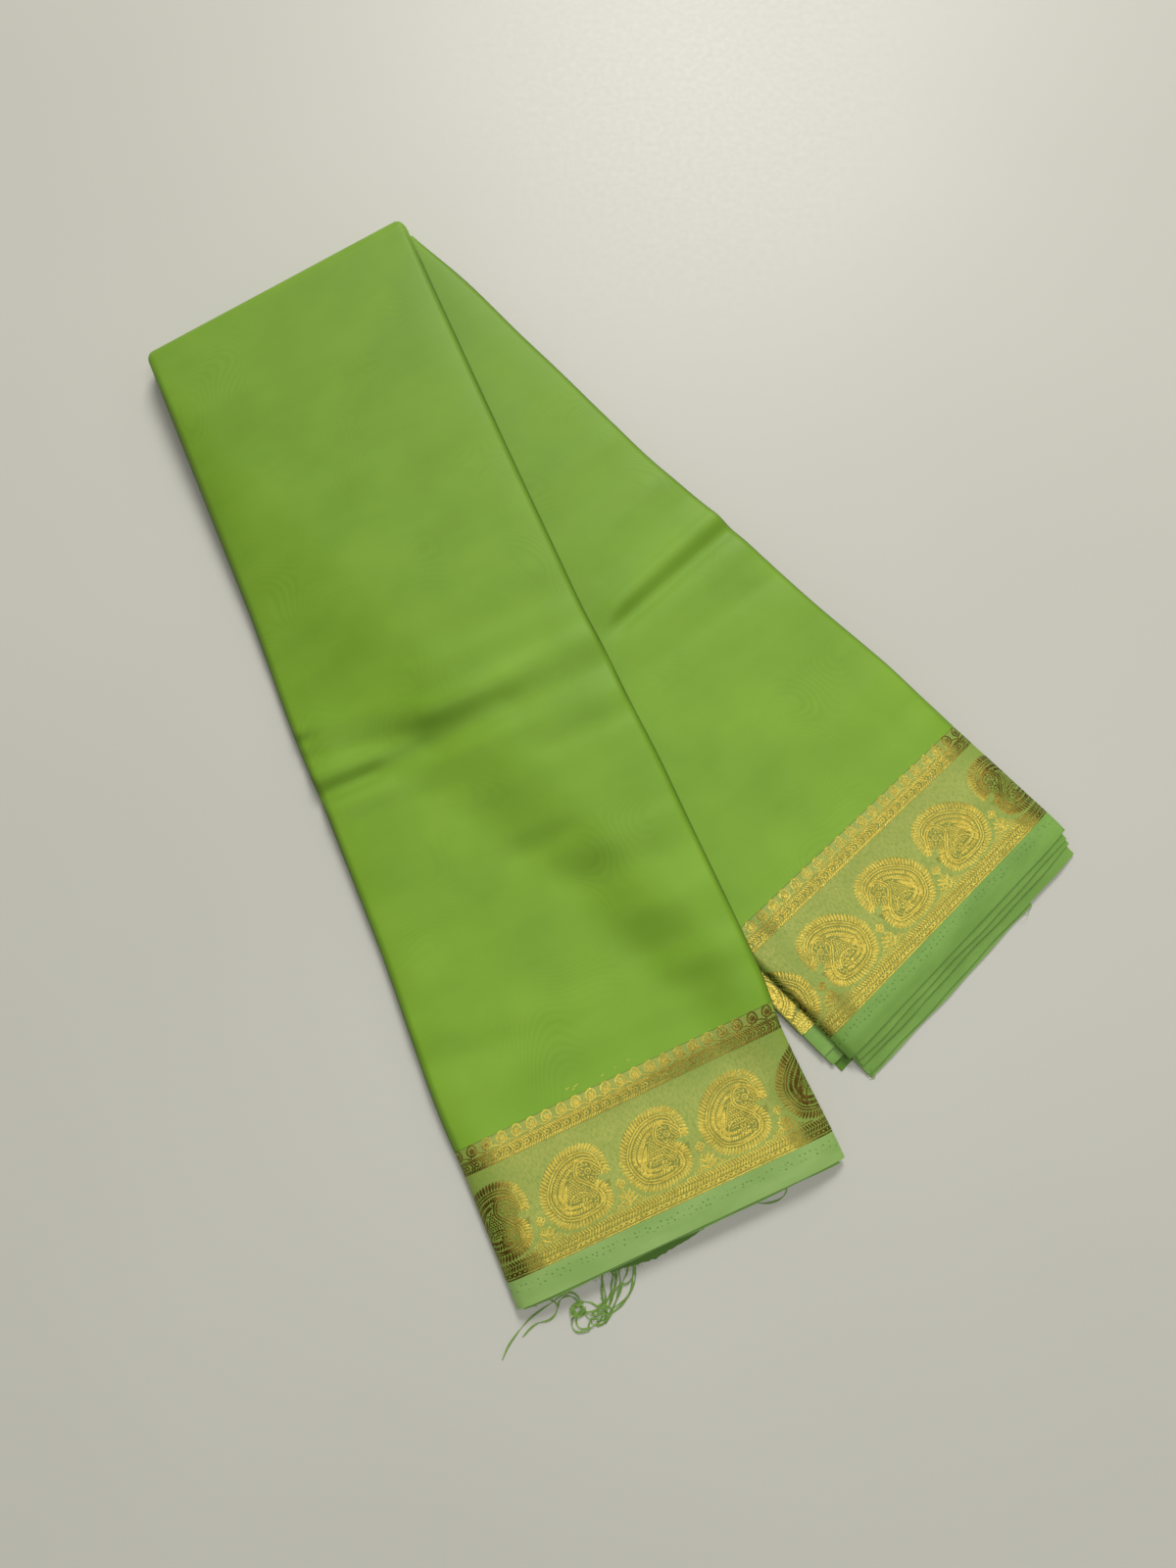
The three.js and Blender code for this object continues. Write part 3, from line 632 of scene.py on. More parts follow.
def sprig():
    """The small flower with its leaves that stands between two paisleys, and the stitches round it."""
    out = Strokes()
    out.line([(23.6, 9.4), (23.0, 13.0), (22.8, 18.5)], 0.9)
    for x, y in ((0, 2.1), (1.9, 0.5), (-1.9, 0.6), (0, -1.3)):
        out.circle((22.6 + x * 0.75, 21.6 + y * 0.8), 0.95, 0.95)
    for k, (x, y) in enumerate(((26.6, 17.8), (28.4, 15.8), (29.6, 13.4), (19.4, 16.4), (18.7, 13.2))):
        out.leaf((23.1, y - 3.2), (x, y), 1.6, 0.2 if k < 3 else -0.2)
    other = RIM + (MOTIF_PITCH, 0)

    def between(spot, away):
        height = 10.4 + 8.2 * math.exp(-((spot[0] - 23.4) / 5.2) ** 2)
        return spot[1] < height and away > 0.75 and not inside(RIM, spot) and not inside(other, spot)

    fill(out, (0, MOTIF_PITCH), (9.6, 19), between)
    return out


# How far apart the pattern's small motifs stand: circles and leaves at the hem, ticks, links and buds
# towards the field. The rope of links starts this high above the gold line.
CIRCLE_PITCH, LEAF_PITCH, TICK_PITCH, LINK_PITCH, BUD_PITCH = 2.9, 1.66, 1.46, 5.83, 8.74
ROPE_BOTTOM = 59.2


def base_row(out, x0, x1):
    """Along the hem: a gold line, circles between ticks, and two rows of leaves that lean together."""
    reach = np.arange(x0, x1 + 1.4, 1.4)
    out.line(np.stack([reach, np.full_like(reach, 0.45)], 1), 0.9, 0.26, smooth_line=False)
    for x in np.arange(x0, x1, CIRCLE_PITCH):
        out.circle((x, 2.5), 0.95, 0.8)
        out.leaf((x + 1.3, 1.2), (x + 1.6, 3.9), 0.9)
    for x in np.arange(x0, x1, LEAF_PITCH):
        tall = 0.45 * math.sin(x * 2 * math.pi / MOTIF_PITCH)
        out.leaf((x, 4.0), (x + 1.5, 6.4 + tall), 1.3, 0.15)
        out.leaf((x + 1.7, 6.5 + tall), (x + 0.3, 9.1), 1.3, 0.15)


def trim(out, x0, x1, bottom=ROPE_BOTTOM):
    """Towards the field: a rope of circles and chevrons between slanted ticks, a vine and its buds."""
    for x in np.arange(x0, x1, TICK_PITCH):
        out.leaf((x, bottom), (x + 1.5, bottom + 2.0), 1.15)
        out.leaf((x + 1.2, bottom + 5.2), (x - 0.6, bottom + 7.3), 1.15)
    for x in np.arange(x0, x1, LINK_PITCH):
        out.circle((x, bottom + 3.6), 1.05, 0.85)
        for tip in (2.7, 4.1):
            for way in (-1, 1):
                out.leaf((x + tip + 0.9, bottom + 3.6), (x + tip - 0.7, bottom + 3.6 + way * 1.75), 0.95)
    for x in np.arange(x0, x1, BUD_PITCH):
        y = bottom + 11.0
        out.line([(x - 2.6, bottom + 7.5), (x + 0.9, bottom + 9.0), (x + 4.2, bottom + 8.7),
                  (x + 6.1, bottom + 7.6)], 0.75)
        out.line([(x - 2.4, y - 1.5), (x - 2.65, y + 0.7), (x - 1.3, y + 2.6), (x + 0.9, y + 3.3),
                  (x + 2.5, y + 1.1), (x + 2.2, y - 1.6), (x, y - 2.6)], 1.0, 0.22, closed=True)
        for shift, tall in ((-1.2, 1.3), (0, 2.1), (1.2, 1.4)):
            out.leaf((x + shift * 0.7, y - 1.7), (x + shift, y + tall), 1.15)


# A few stray floats of gold in the upper leg's field, next to the buds: place and length.
STRAY_FLOATS = [
    (-26.8, 78.6, 2.2), (-22, 78.2, 2.8), (-24, 77.0, 1.6), (-6.8, 77.0, 1.8), (1.3, 77.7, 1.4),
    (9.4, 78.3, 1.5),
]


def border_strokes(leg, first, mirror):
    """The whole border of one leg, with its pattern run on round both sides."""
    out = Strokes()
    base_row(out, -PATTERN_REACH, PATTERN_REACH)
    trim(out, -PATTERN_REACH, PATTERN_REACH)
    one, small = paisley(), sprig()
    for k in range(-3, 4):
        out.put(one, first + k * MOTIF_PITCH, mirror)
        out.put(small, first + k * MOTIF_PITCH, mirror)
    if leg is UPPER:
        for x, y, length in STRAY_FLOATS:
            out.stitch(np.array([x, y]), np.array([1.0, 0.25]), length, 0.5)
    return out


# How much brown shade is painted on all the lower border, which lies a little off the light.
LOWER_SHADE = 0.16


def painted_shade(leg, u, s):
    """How much shade is painted on the border where it turns away from the light, at its sides and where it
    waves: 0 to 1.
    """
    half = np.where(s < 0, half_width(leg, u, True), half_width(leg, u, False))
    past = np.abs(s) - half + RADIUS
    uneven = 2.2 * np.sin(u * 0.11 + np.sign(s)) + 1.3 * np.sin(u * 0.27 + 2)
    share = 0.5 * smooth((past + 19 + uneven) / 6) + 0.45 * smooth((past + 11 + uneven) / 8)
    if leg is UPPER:
        # on the upper leg, also a patch of painted brown shade where the border waves
        away = ((s - 42) / 30) ** 2 + ((u - leg["line"] + 60) / 17) ** 2
        return np.maximum(share, 0.62 * np.exp(-away))
    # on the left the lower leg's side is rolled: painted brown shade, then less of it along the roll where
    # the light catches it, then painted dark shade below it
    rolled = 0.62 * np.exp(-((past + 13 + 0.5 * uneven) / 6) ** 2) + 0.95 * smooth((past - 1) / 3)
    return np.maximum(np.where(s < 0, np.minimum(rolled, 1), share), LOWER_SHADE)


def lay(name, strokes, allowed, place):
    """Strokes laid on the cloth, cut off where they aren't allowed.

    place gives the points' spots, their places on the cloth, and how much shade is painted on them where
    they turn away from the light.
    """
    verts, faces, pairs, turned, count = [], [], [], [], 0
    for v, f in strokes.items:
        kept = f[allowed(v)[f].all(1)]
        if not len(kept):
            continue
        used, order = np.unique(kept, return_inverse=True)
        spots, uv, share = place(v[used])
        verts.append(spots)
        turned.append(share)
        faces.append(order.reshape(kept.shape) + count)
        pairs.append(uv)
        count += len(used)
    return make(name, np.concatenate(verts), np.concatenate(faces), np.concatenate(pairs),
                turned=np.concatenate(turned))


# How much of a stroke's drawn height it stands above the cloth.
RISE = 0.35


def lay_on_leg(name, leg, strokes):
    """The border's strokes on the ply that shows, and round its sides."""
    def allowed(v):
        u = leg["line"] - v[:, 1]
        left = half_width(leg, u, True) - RADIUS + RADIUS * LEFT_CURL
        right = half_width(leg, u, False) - RADIUS + RADIUS * RIGHT_CURL
        return (v[:, 0] > 0.15 - left) & (v[:, 0] < right - 0.15)

    def place(v):
        u, s = leg["line"] - v[:, 1], v[:, 0]
        return cloth_point(leg, u, s, v[:, 2] * RISE), pair(s, u), painted_shade(leg, u, s)

    return lay(name, strokes, allowed, place)


# Materials


class Nodes:
    """A small helper for one material's nodes."""

    def __init__(self, name):
        self.material = bpy.data.materials.new(name)
        self.material.use_nodes = True
        self.tree = self.material.node_tree
        self.tree.nodes.clear()
        self.out = self.tree.nodes.new("ShaderNodeOutputMaterial")
        self.shader = self.tree.nodes.new("ShaderNodeBsdfPrincipled")
        self.tree.links.new(self.shader.outputs[0], self.out.inputs["Surface"])

    def new(self, kind, settings=None, **inputs):
        """A node with its inputs fed by name, or by number as i0, i1 and so on."""
        node = self.tree.nodes.new("ShaderNode" + kind)
        for key, value in (settings or {}).items():
            setattr(node, key, value)
        for key, value in inputs.items():
            by_number = key[0] == "i" and key[1:].isdigit()
            self.feed(node.inputs[int(key[1:]) if by_number else key.replace("_", " ")], value)
        return node

    def feed(self, socket, value):
        if isinstance(value, bpy.types.NodeSocket):
            self.tree.links.new(value, socket)
        else:
            socket.default_value = value

    def math(self, operation, a, b=0.0, c=0.0):
        return self.new("Math", {"operation": operation}, i0=a, i1=b, i2=c).outputs[0]

    def add(self, a, b):
        return self.math("ADD", a, b)

    def less(self, a, b):
        return self.math("SUBTRACT", a, b)

    def times(self, a, b):
        return self.math("MULTIPLY", a, b)

    def square(self, a, over):
        return self.math("POWER", self.math("DIVIDE", a, over), 2.0)

    def uv(self):
        return self.new("UVMap", {"uv_map": "cloth"}).outputs[0]

    def split(self, vector):
        return self.new("SeparateXYZ", i0=vector).outputs

    def stretch(self, vector, x, y, z=1.0):
        return self.new("VectorMath", {"operation": "MULTIPLY"}, i0=vector, i1=(x, y, z)).outputs[0]

    def lying(self, low, high):
        """1 where the cloth lies flat and less where it turns down, as on a folded edge; the mask for
        painted shade.
        """
        up = self.split(self.new("TexCoord").outputs["Normal"])[2]
        return self.spread(up, low, high)

    def turned(self):
        """How much shade is painted on the border where it turns away from the light."""
        return self.new("Attribute", {"attribute_name": "turned"}).outputs["Fac"]

    def noise(self, vector, scale, detail=2.0, rough=0.5):
        return self.new("TexNoise", Vector=vector, Scale=scale, Detail=detail, Roughness=rough).outputs[0]

    def spread(self, value, low, high, out_low=0.0, out_high=1.0):
        return self.new("MapRange", i0=value, i1=low, i2=high, i3=out_low, i4=out_high).outputs[0]

    def cells(self, vector, feature="F1", **inputs):
        """Flat Voronoi cells of size 1."""
        settings = {"feature": feature, "voronoi_dimensions": "2D"}
        return self.new("TexVoronoi", settings, Vector=vector, Scale=1.0, **inputs).outputs

    def mix(self, share, a, b):
        node = self.new("Mix", {"data_type": "RGBA"})
        self.feed(node.inputs[0], share)
        self.feed(node.inputs[6], a)
        self.feed(node.inputs[7], b)
        return node.outputs[2]

    def wave(self, value, pitch):
        """0 to 1 and back, once in a pitch."""
        turns = self.times(value, 2 * math.pi / pitch)
        return self.math("MULTIPLY_ADD", self.math("SINE", turns), 0.5, 0.5)

    def bump(self, height, distance, strength=1.0, below=None):
        node = self.new("Bump", Height=height, Distance=distance, Strength=strength)
        if below is not None:
            self.feed(node.inputs["Normal"], below)
        return node.outputs[0]

    def finish(self, **inputs):
        for key, value in inputs.items():
            self.feed(self.shader.inputs[key.replace("_", " ")], value)
        return self.material


def rgb(r, g, b):
    """Colour from how it looks on a screen, 0 to 255."""
    def linear(v):
        v /= 255
        return v / 12.92 if v <= 0.04045 else ((v + 0.055) / 1.055) ** 2.4

    return (linear(r), linear(g), linear(b), 1.0)


def darker(colour, share):
    return (*(c * share for c in colour[:3]), 1.0)


def silk(name, light, dark, crepe=1.0, moire=0.0, side=0.42, run=(1.0, 1.0)):
    """Crepe silk: a fine plain weave, slightly pebbled and softly clouded, with moire in patches.

    side is how dark the painted shade makes it where it turns down, and run how it is painted darker near
    the fold and lighter towards the hem, against the light's fall-off.
    """
    n = Nodes(name)
    uv = n.uv()
    axes = n.split(uv)
    weave = n.times(n.wave(axes[0], 0.00042), n.wave(axes[1], 0.00046))
    pebble = n.noise(uv, 1500.0, 3.0, 0.6)
    streak = n.noise(n.stretch(uv, 9.0, 60.0), 1.0, 3.0, 0.55)
    cloud = n.noise(uv, 20.0, 3.0, 0.5)
    share = n.add(n.times(streak, 0.25), n.times(cloud, 0.75))
    colour = n.mix(n.spread(share, 0.32, 0.68), dark, light)
    rings = n.wave(n.noise(uv, 11.0, 1.0), 0.016)
    patch = n.spread(n.noise(n.stretch(uv, 17.0, 14.0), 1.0, 1.0), 0.5, 0.7)
    shade = n.times(n.times(rings, patch), moire)
    colour = n.mix(shade, colour, darker(dark, 0.6))
    grain = n.mix(n.times(pebble, 0.16), colour, darker(dark, 0.55))
    # painted shade where the cloth turns down at its rounded edges, but not round the fold
    unshaded = n.math("MAXIMUM", n.lying(0.5, 0.98), n.spread(axes[1], 0.004, 0.03, 1.0, 0.0))
    grain = n.mix(unshaded, darker(dark, side), grain)
    # painted light: darker near the fold and lighter towards the hem, against the light's fall-off
    shade = n.spread(axes[1], 0.08, 0.48, *run)
    grain = n.new("VectorMath", {"operation": "SCALE"}, i0=grain, i3=shade).outputs[0]
    height = n.add(n.times(weave, 0.35), n.times(pebble, 0.65))
    normal = n.bump(height, 0.00007 * crepe, 0.8)
    rough = n.spread(cloud, 0.3, 0.7, 0.48, 0.56)
    return n.finish(Base_Color=grain, Roughness=rough, Normal=normal, Sheen_Weight=0.05, Sheen_Roughness=0.4,
                    Sheen_Tint=(0.75, 0.9, 0.5, 1.0), Specular_IOR_Level=0.3)


def tissue(name, leg, first, mirror):
    """The border's ground: green silk shot with fine gold weft lines, plainer beneath the motifs, with less
    gold shot and a greener ground painted where the border turns away from the light.
    """
    n = Nodes(name)
    uv = n.uv()
    axes = n.split(uv)
    wobble = n.noise(n.stretch(uv, 300.0, 60.0), 1.0, 2.0)
    across = n.add(axes[0], n.times(wobble, 0.0006))
    lines = n.wave(across, 0.00062)
    threads = n.wave(axes[1], 0.00035)
    broken = n.spread(n.noise(n.stretch(uv, 700.0, 420.0), 1.0, 2.0), 0.1, 0.6)
    shot = n.times(n.spread(lines, 0.35, 0.8), broken)
    up = n.less(leg["line"] * 0.001, axes[1])

    def band(low, high):
        return n.times(n.spread(up, low, low + 0.0004), n.spread(up, high - 0.0004, high, 1.0, 0.0))

    beside = n.math("WRAP", n.less(axes[0], first * 0.001), MOTIF_PITCH * 0.0005, -MOTIF_PITCH * 0.0005)
    # the ground under each paisley is an ellipse without its notch
    body = n.add(n.square(beside, 0.0188), n.square(n.less(up, 0.0301), 0.0188))
    motif = n.spread(body, 0.94, 1.02, 1.0, 0.0)
    notch = n.add(n.square(n.less(beside, 0.0165 * mirror), 0.0042), n.square(n.less(up, 0.0292), 0.0024))
    motif = n.times(motif, n.spread(notch, 0.8, 1.1))
    motif = n.math("MAXIMUM", motif, n.math("MAXIMUM", band(-0.0002, 0.0088), band(0.0588, 0.0668)))
    # painted shade: where the border turns away from the light, its gold shot fades and the ground under the
    # motifs turns greener
    turned = n.turned()
    plain = n.times(n.math("MULTIPLY_ADD", motif, -0.7, 1.0), n.math("MULTIPLY_ADD", turned, -0.6, 1.0))
    shot = n.times(shot, plain)
    cloud = n.noise(uv, 60.0, 3.0)
    ground = n.mix(motif, rgb(122, 156, 50), n.mix(turned, rgb(128, 136, 34), rgb(122, 152, 44)))
    colour = n.mix(n.times(shot, 0.8), ground, rgb(230, 212, 118))
    colour = n.mix(n.spread(cloud, 0.35, 0.65, 0.0, 0.22), colour, rgb(120, 152, 54))
    height = n.add(lines, n.times(threads, 0.4))
    return n.finish(Base_Color=colour, Roughness=n.spread(shot, 0, 1, 0.52, 0.38),
                    Metallic=n.times(shot, 0.5), Normal=n.bump(height, 0.00006, 0.7),
                    Sheen_Weight=0.05, Specular_IOR_Level=0.5)


def gold():
    """Flat gold thread, with brown shade painted into its colour where the border turns away from the light.
    """
    n = Nodes("zari_gold")
    uv = n.uv()
    axes = n.split(uv)
    ply = n.wave(n.add(axes[0], n.times(axes[1], 0.6)), 0.00034)
    grain = n.noise(uv, 2600.0, 2.0, 0.6)
    patch = n.noise(uv, 700.0, 2.0, 0.5)
    colour = n.mix(n.spread(grain, 0.35, 0.7), rgb(220, 192, 72), rgb(255, 236, 116))
    colour = n.mix(n.spread(patch, 0.42, 0.7, 0.0, 0.4), colour, rgb(176, 156, 54))
    # each stitch lies a little differently: a darker tone on some stitches is painted in for their weaker
    # mirroring of the light
    cells = n.stretch(uv, 1 / 0.0024, 1 / 0.0016)
    stitch = n.split(n.cells(cells)["Color"])[0]
    gap = n.cells(cells, "DISTANCE_TO_EDGE")["Distance"]
    colour = n.mix(n.spread(gap, 0.01, 0.07, 0.6, 1.0), rgb(108, 102, 24), colour)
    colour = n.mix(n.spread(stitch, 0.5, 1.0, 0.0, 0.35), colour, rgb(142, 124, 36))
    # painted brown shade, a little uneven, where the border turns away from the light
    uneven = n.spread(n.noise(uv, 90.0, 2.0), 0.3, 0.7, 0.8, 1.15)
    colour = n.mix(n.math("MINIMUM", n.times(n.turned(), uneven), 0.93), colour, rgb(78, 54, 8))
    height = n.add(n.times(ply, 0.6), grain)
    return n.finish(Base_Color=colour, Metallic=0.85, Roughness=n.spread(grain, 0.3, 0.7, 0.27, 0.4),
                    Normal=n.bump(height, 0.000055, 0.9), Specular_IOR_Level=0.5)


def selvedge(name, light, dark, line_at):
    """The plain hem: denser weave, with rows of small pin holes."""
    n = Nodes(name)
    uv = n.uv()
    axes = n.split(uv)
    down = n.less(axes[1], line_at)
    ribs = n.wave(axes[1], 0.0007)
    fine = n.wave(axes[0], 0.0004)
    cloud = n.noise(n.stretch(uv, 30.0, 90.0), 1.0, 3.0)
    jitter = n.noise(uv, 420.0, 1.0)
    moved = n.stretch(uv, 1 / 0.0031, 1 / 0.0024)
    hole = n.spread(n.cells(moved, Randomness=0.55)["Distance"], 0.12, 0.24, 1.0, 0.0)
    row = n.times(n.spread(down, 0.0022, 0.0028), n.spread(down, 0.0070, 0.0078, 1.0, 0.0))
    hole = n.times(n.times(hole, row), n.spread(jitter, 0.42, 0.52))
    colour = n.mix(n.spread(cloud, 0.36, 0.64), dark, light)
    # the pin holes are real; their darker colour is painted shade within them
    colour = n.mix(n.times(hole, 0.75), colour, rgb(72, 116, 42))
    height = n.less(n.add(ribs, n.times(fine, 0.5)), n.times(hole, 2.0))
    return n.finish(Base_Color=colour, Roughness=0.5, Normal=n.bump(height, 0.00006, 0.8), Sheen_Weight=0.08,
                    Sheen_Roughness=0.4, Specular_IOR_Level=0.6)


def paint(obj, material):
    obj.data.materials.clear()
    obj.data.materials.append(material)
    return obj


# Where a paisley stands on each leg and on the bottom plies, and which way they face.
UPPER_MOTIFS, LOWER_MOTIFS, STEP_MOTIFS = (-43.0, 1), (-5.0, -1), (-12.0, -1)

FIELD = silk("crepe_field", rgb(131, 174, 49), rgb(117, 160, 37), moire=0.15, run=(0.93, 1.13))
# the inner plies and the bottom ply are darker copies of the field's silk: painted shade
LAYERS = silk("crepe_layers", rgb(112, 154, 42), rgb(98, 138, 32), side=0.85)
UNDER = silk("crepe_under", rgb(92, 138, 32), rgb(78, 120, 24), side=0.85)
TISSUE_UP = tissue("tissue_upper", UPPER, *UPPER_MOTIFS)
TISSUE_LOW = tissue("tissue_lower", LOWER, *LOWER_MOTIFS)
GOLD = gold()
HEM_UP = selvedge("hem_upper", rgb(149, 186, 98), rgb(136, 174, 84), UPPER["line"] * 0.001)
HEM_LOW = selvedge("hem_lower", rgb(128, 174, 72), rgb(116, 161, 59), LOWER["line"] * 0.001)
HEM_INNER = selvedge("hem_inner", rgb(128, 174, 72), rgb(114, 160, 58), 0.4)
THREAD = silk("loose_thread", rgb(156, 196, 100), rgb(124, 168, 68), 2.0, side=0.9)


# The pieces


def piece(obj, material, nodes):
    """Paints one object, hangs it from the root, and hides the parts of model.glb that it stands for."""
    paint(obj, material)
    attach(obj, "root")
    if nodes:
        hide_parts(*nodes)
    return obj


def rows_between(start, end, step):
    return list(np.linspace(start, end, max(2, int(round((end - start) / step)) + 1)))


def field_rows(start, end):
    """Rows close together at the old crease and further apart elsewhere."""
    marks = [start, 226, 350, end]
    steps = [5.0, 2.2, 4.0]
    rows = [start]
    for a, b, step in zip(marks[:-1], marks[1:], steps):
        rows += rows_between(a, b, step)[1:]
    return rows


# The border is its own sheet up to the buds, which lie on the field's.
BORDER_REACH, SEAM = 73.4, 0.2
# The lower leg's bottom plies stand out at the left; their border starts and ends here.
STEP_BORDER, STEP_HEM, STEP_OUT = 474.5, 536.5, 9
# The staggered hems are pieces of their own over the legs' last stretch.
TAIL = 40


def border_sheet(name, leg):
    return showing(name, leg, rows_between(leg["line"] - BORDER_REACH, leg["line"] - 0.1, 3), columns=60)


def hem_sheet(name, leg):
    return showing(name, leg, rows_between(leg["line"], leg["length"], 1.5), columns=60)


fold_rows = list(-FOLD_RADIUS * np.linspace(math.pi, 0, 25)[:-1])
upper_rows = field_rows(0, UPPER["line"] - BORDER_REACH - SEAM)
field_up = showing("upper_cloth_field", UPPER, fold_rows + upper_rows)
border_up = border_sheet("upper_cloth_border", UPPER)
hem_up = hem_sheet("upper_cloth_hem", UPPER)
zari_up = lay_on_leg("upper_zari", UPPER, border_strokes(UPPER, *UPPER_MOTIFS))

field_low = showing("lower_cloth_field", LOWER, field_rows(0.6, LOWER["line"] - BORDER_REACH - SEAM))
border_low = border_sheet("lower_cloth_border", LOWER)
hem_low = hem_sheet("lower_cloth_hem", LOWER)
zari_low = lay_on_leg("lower_zari", LOWER, border_strokes(LOWER, *LOWER_MOTIFS))


def lay_on_step(name, strokes):
    """The border's strokes on the bottom plies, where these stand out at the lower leg's left."""
    def allowed(v):
        u = STEP_HEM - v[:, 1]
        edge = half_width(LOWER, u, True)
        return (v[:, 0] > 0.7 - edge - STEP_OUT) & (v[:, 0] < 7 - edge) & (u > STEP_BORDER + 0.4)

    def place(v):
        u, s = STEP_HEM - v[:, 1], v[:, 0]
        spots = leg_point(LOWER, u, s, STEP_TOP + 0.04 + v[:, 2] * RISE)
        return spots, pair(s, u), np.zeros(len(v))

    return lay(name, strokes, allowed, place)


zari_step = lay_on_step("step_zari", border_strokes(LOWER, *STEP_MOTIFS))
piece(zari_step, GOLD, [])
piece(zari_up, GOLD, [])
piece(zari_low, GOLD, [])
piece(field_up, FIELD, ["upper_field", "lower_under"])
piece(border_up, TISSUE_UP, ["upper_border"])
piece(hem_up, HEM_UP, ["upper_hem"])
piece(field_low, FIELD, ["lower_field"])
piece(border_low, TISSUE_LOW, ["lower_border"])
piece(hem_low, HEM_LOW, ["lower_hem"])

# the layers inside, which show at the sides and at the staggered hems
upper_pile = pile("upper_inner_layers", UPPER, field_rows(GAP, UPPER["length"] - TAIL - GAP), 0.0, INNER_TOP,
                  left_inset, right_inset)
piece(upper_pile, LAYERS, ["upper_layers"])
fold_angles = np.linspace(math.pi, 0, 19)
fold_pile = pile("fold_inner_layers", UPPER, [0.0] * 19, 0.0, INNER_TOP, left_inset, right_inset,
                 turned=fold_angles)
piece(fold_pile, LAYERS, ["fold_turn"])
lower_pile = pile("lower_inner_layers", LOWER, field_rows(GAP, LOWER["length"] - TAIL - GAP), 3 * PITCH,
                  INNER_TOP, left_inset, right_inset)
piece(lower_pile, LAYERS, ["lower_layers"])

# Each ply's letter, node, slot or slots, hem line, and how far it lies in at the left and right.
for letter, node, slot, hem, left, right in (
    ("a", "lower_hem_ply_2", 6, 566, 0.2, 0.1), ("b", "lower_hem_ply_3", 5, 569.6, 0.9, 2.4),
    ("c", "lower_hem_ply_4", 4, 575.4, 1.4, 4.8), ("d", "lower_hem_ply_5", 3, 577.6, 1.8, 44),
):
    start = LOWER["length"] - TAIL
    rows = rows_between(start, hem, 2.5)
    strip = tube(f"lower_hem_ply_{letter}", LOWER, rows, slot, left, right, wave=0.35)
    piece(strip, HEM_INNER, [node])
for letter, node, slots, hem, left, right in (
    ("a", "upper_hem_ply_2", (6,), 602.9, 0.3, 0.6), ("b", "upper_hem_ply_3", (5,), 601.2, 0.5, 1.0),
    ("c", "upper_hem_plies", (4, 3, 2, 1), 600.4, 0.8, 1.2),
):
    start = UPPER["length"] - TAIL
    strips = [tube(f"upper_hem_ply_{letter}{i or ''}", UPPER, rows_between(start, hem - 0.5 * i, 2.5), slot,
                   left + 0.4 * (i % 2), right, wave=0.3) for i, slot in enumerate(slots)]
    for strip in strips:
        piece(strip, HEM_INNER, [node])


# The lower leg's bottom plies


def step_left(height):
    return 0.0


def step_right(height):
    return right_inset(height) + 2


def step_pile(name, rows):
    return pile(name, LOWER, rows, PITCH, 2 * PITCH + PLY, step_left, step_right, out=STEP_OUT)


piece(step_pile("lower_step_cloth", rows_between(GAP, STEP_BORDER - GAP, 6)), LAYERS,
      ["lower_step_layers"])
piece(step_pile("lower_step_trim", rows_between(STEP_BORDER, STEP_HEM - GAP, 3)), TISSUE_LOW,
      ["lower_step_border"])
for letter, node, slot, hem, left, right in (
    ("a", "lower_step_hem_1", 2, 551.5, 0.3, 2.5), ("b", "lower_step_hem_2", 1, 558.2, 0.6, 3),
):
    strip = tube(f"lower_step_hem_ply_{letter}", LOWER, rows_between(STEP_HEM, hem, 1.5), slot, left, right,
                 out=STEP_OUT, wave=0.2)
    piece(strip, HEM_INNER, [node])


def under_ply():
    """The bottom ply, lying flat on the ground from the fold to its hem."""
    rows = rows_between(0, 563.8, 6)
    u = np.array(rows)
    left = half_width(LOWER, u, True) + stand_out(u, STEP_OUT) - 2
    right = half_width(LOWER, u, False) - 7
    shares = np.linspace(0, 1, 40)[None, :]
    across = -left[:, None] + shares * (left + right)[:, None]
    flat = [leg_point(LOWER, u[:, None] + 0 * across, across, np.full_like(across, h)) for h in (0.5, 0.02)]
    return wall("lower_under_ply", *flat, pair(across, u[:, None]))


piece(under_ply(), UNDER, ["lower_under"])

# Where the cut end stops (s, u), from left to right.
RAW_EDGE = [
    (-88, 600.8), (-72, 602.4), (-54.7, 603.2), (-47.4, 604), (-27.7, 607), (-19, 608.2), (-7.7, 607),
    (2, 606.2), (11, 604.6), (22, 600), (50, 594), (88, 590),
]


def cut_end():
    """The saree's cut end, the bottom ply of the upper leg."""
    across = np.linspace(-88, 88, 90)
    uneven = 0.25 * np.sin(across * 1.9) + 0.15 * np.sin(across * 4.3)
    edge = np.interp(across, *np.array(RAW_EDGE).T) + uneven
    start = UPPER["length"] - TAIL
    u = start + np.linspace(0, 1, 14)[:, None] * (edge - start)[None, :]
    wide = np.broadcast_to(across, u.shape)
    grids = [leg_point(UPPER, u, wide, np.full_like(u, h)) for h in (0.7, 0.2)]
    return wall("upper_cut_end", *grids, pair(wide, u))


piece(cut_end(), UNDER, ["raw_end"])


# Loose threads


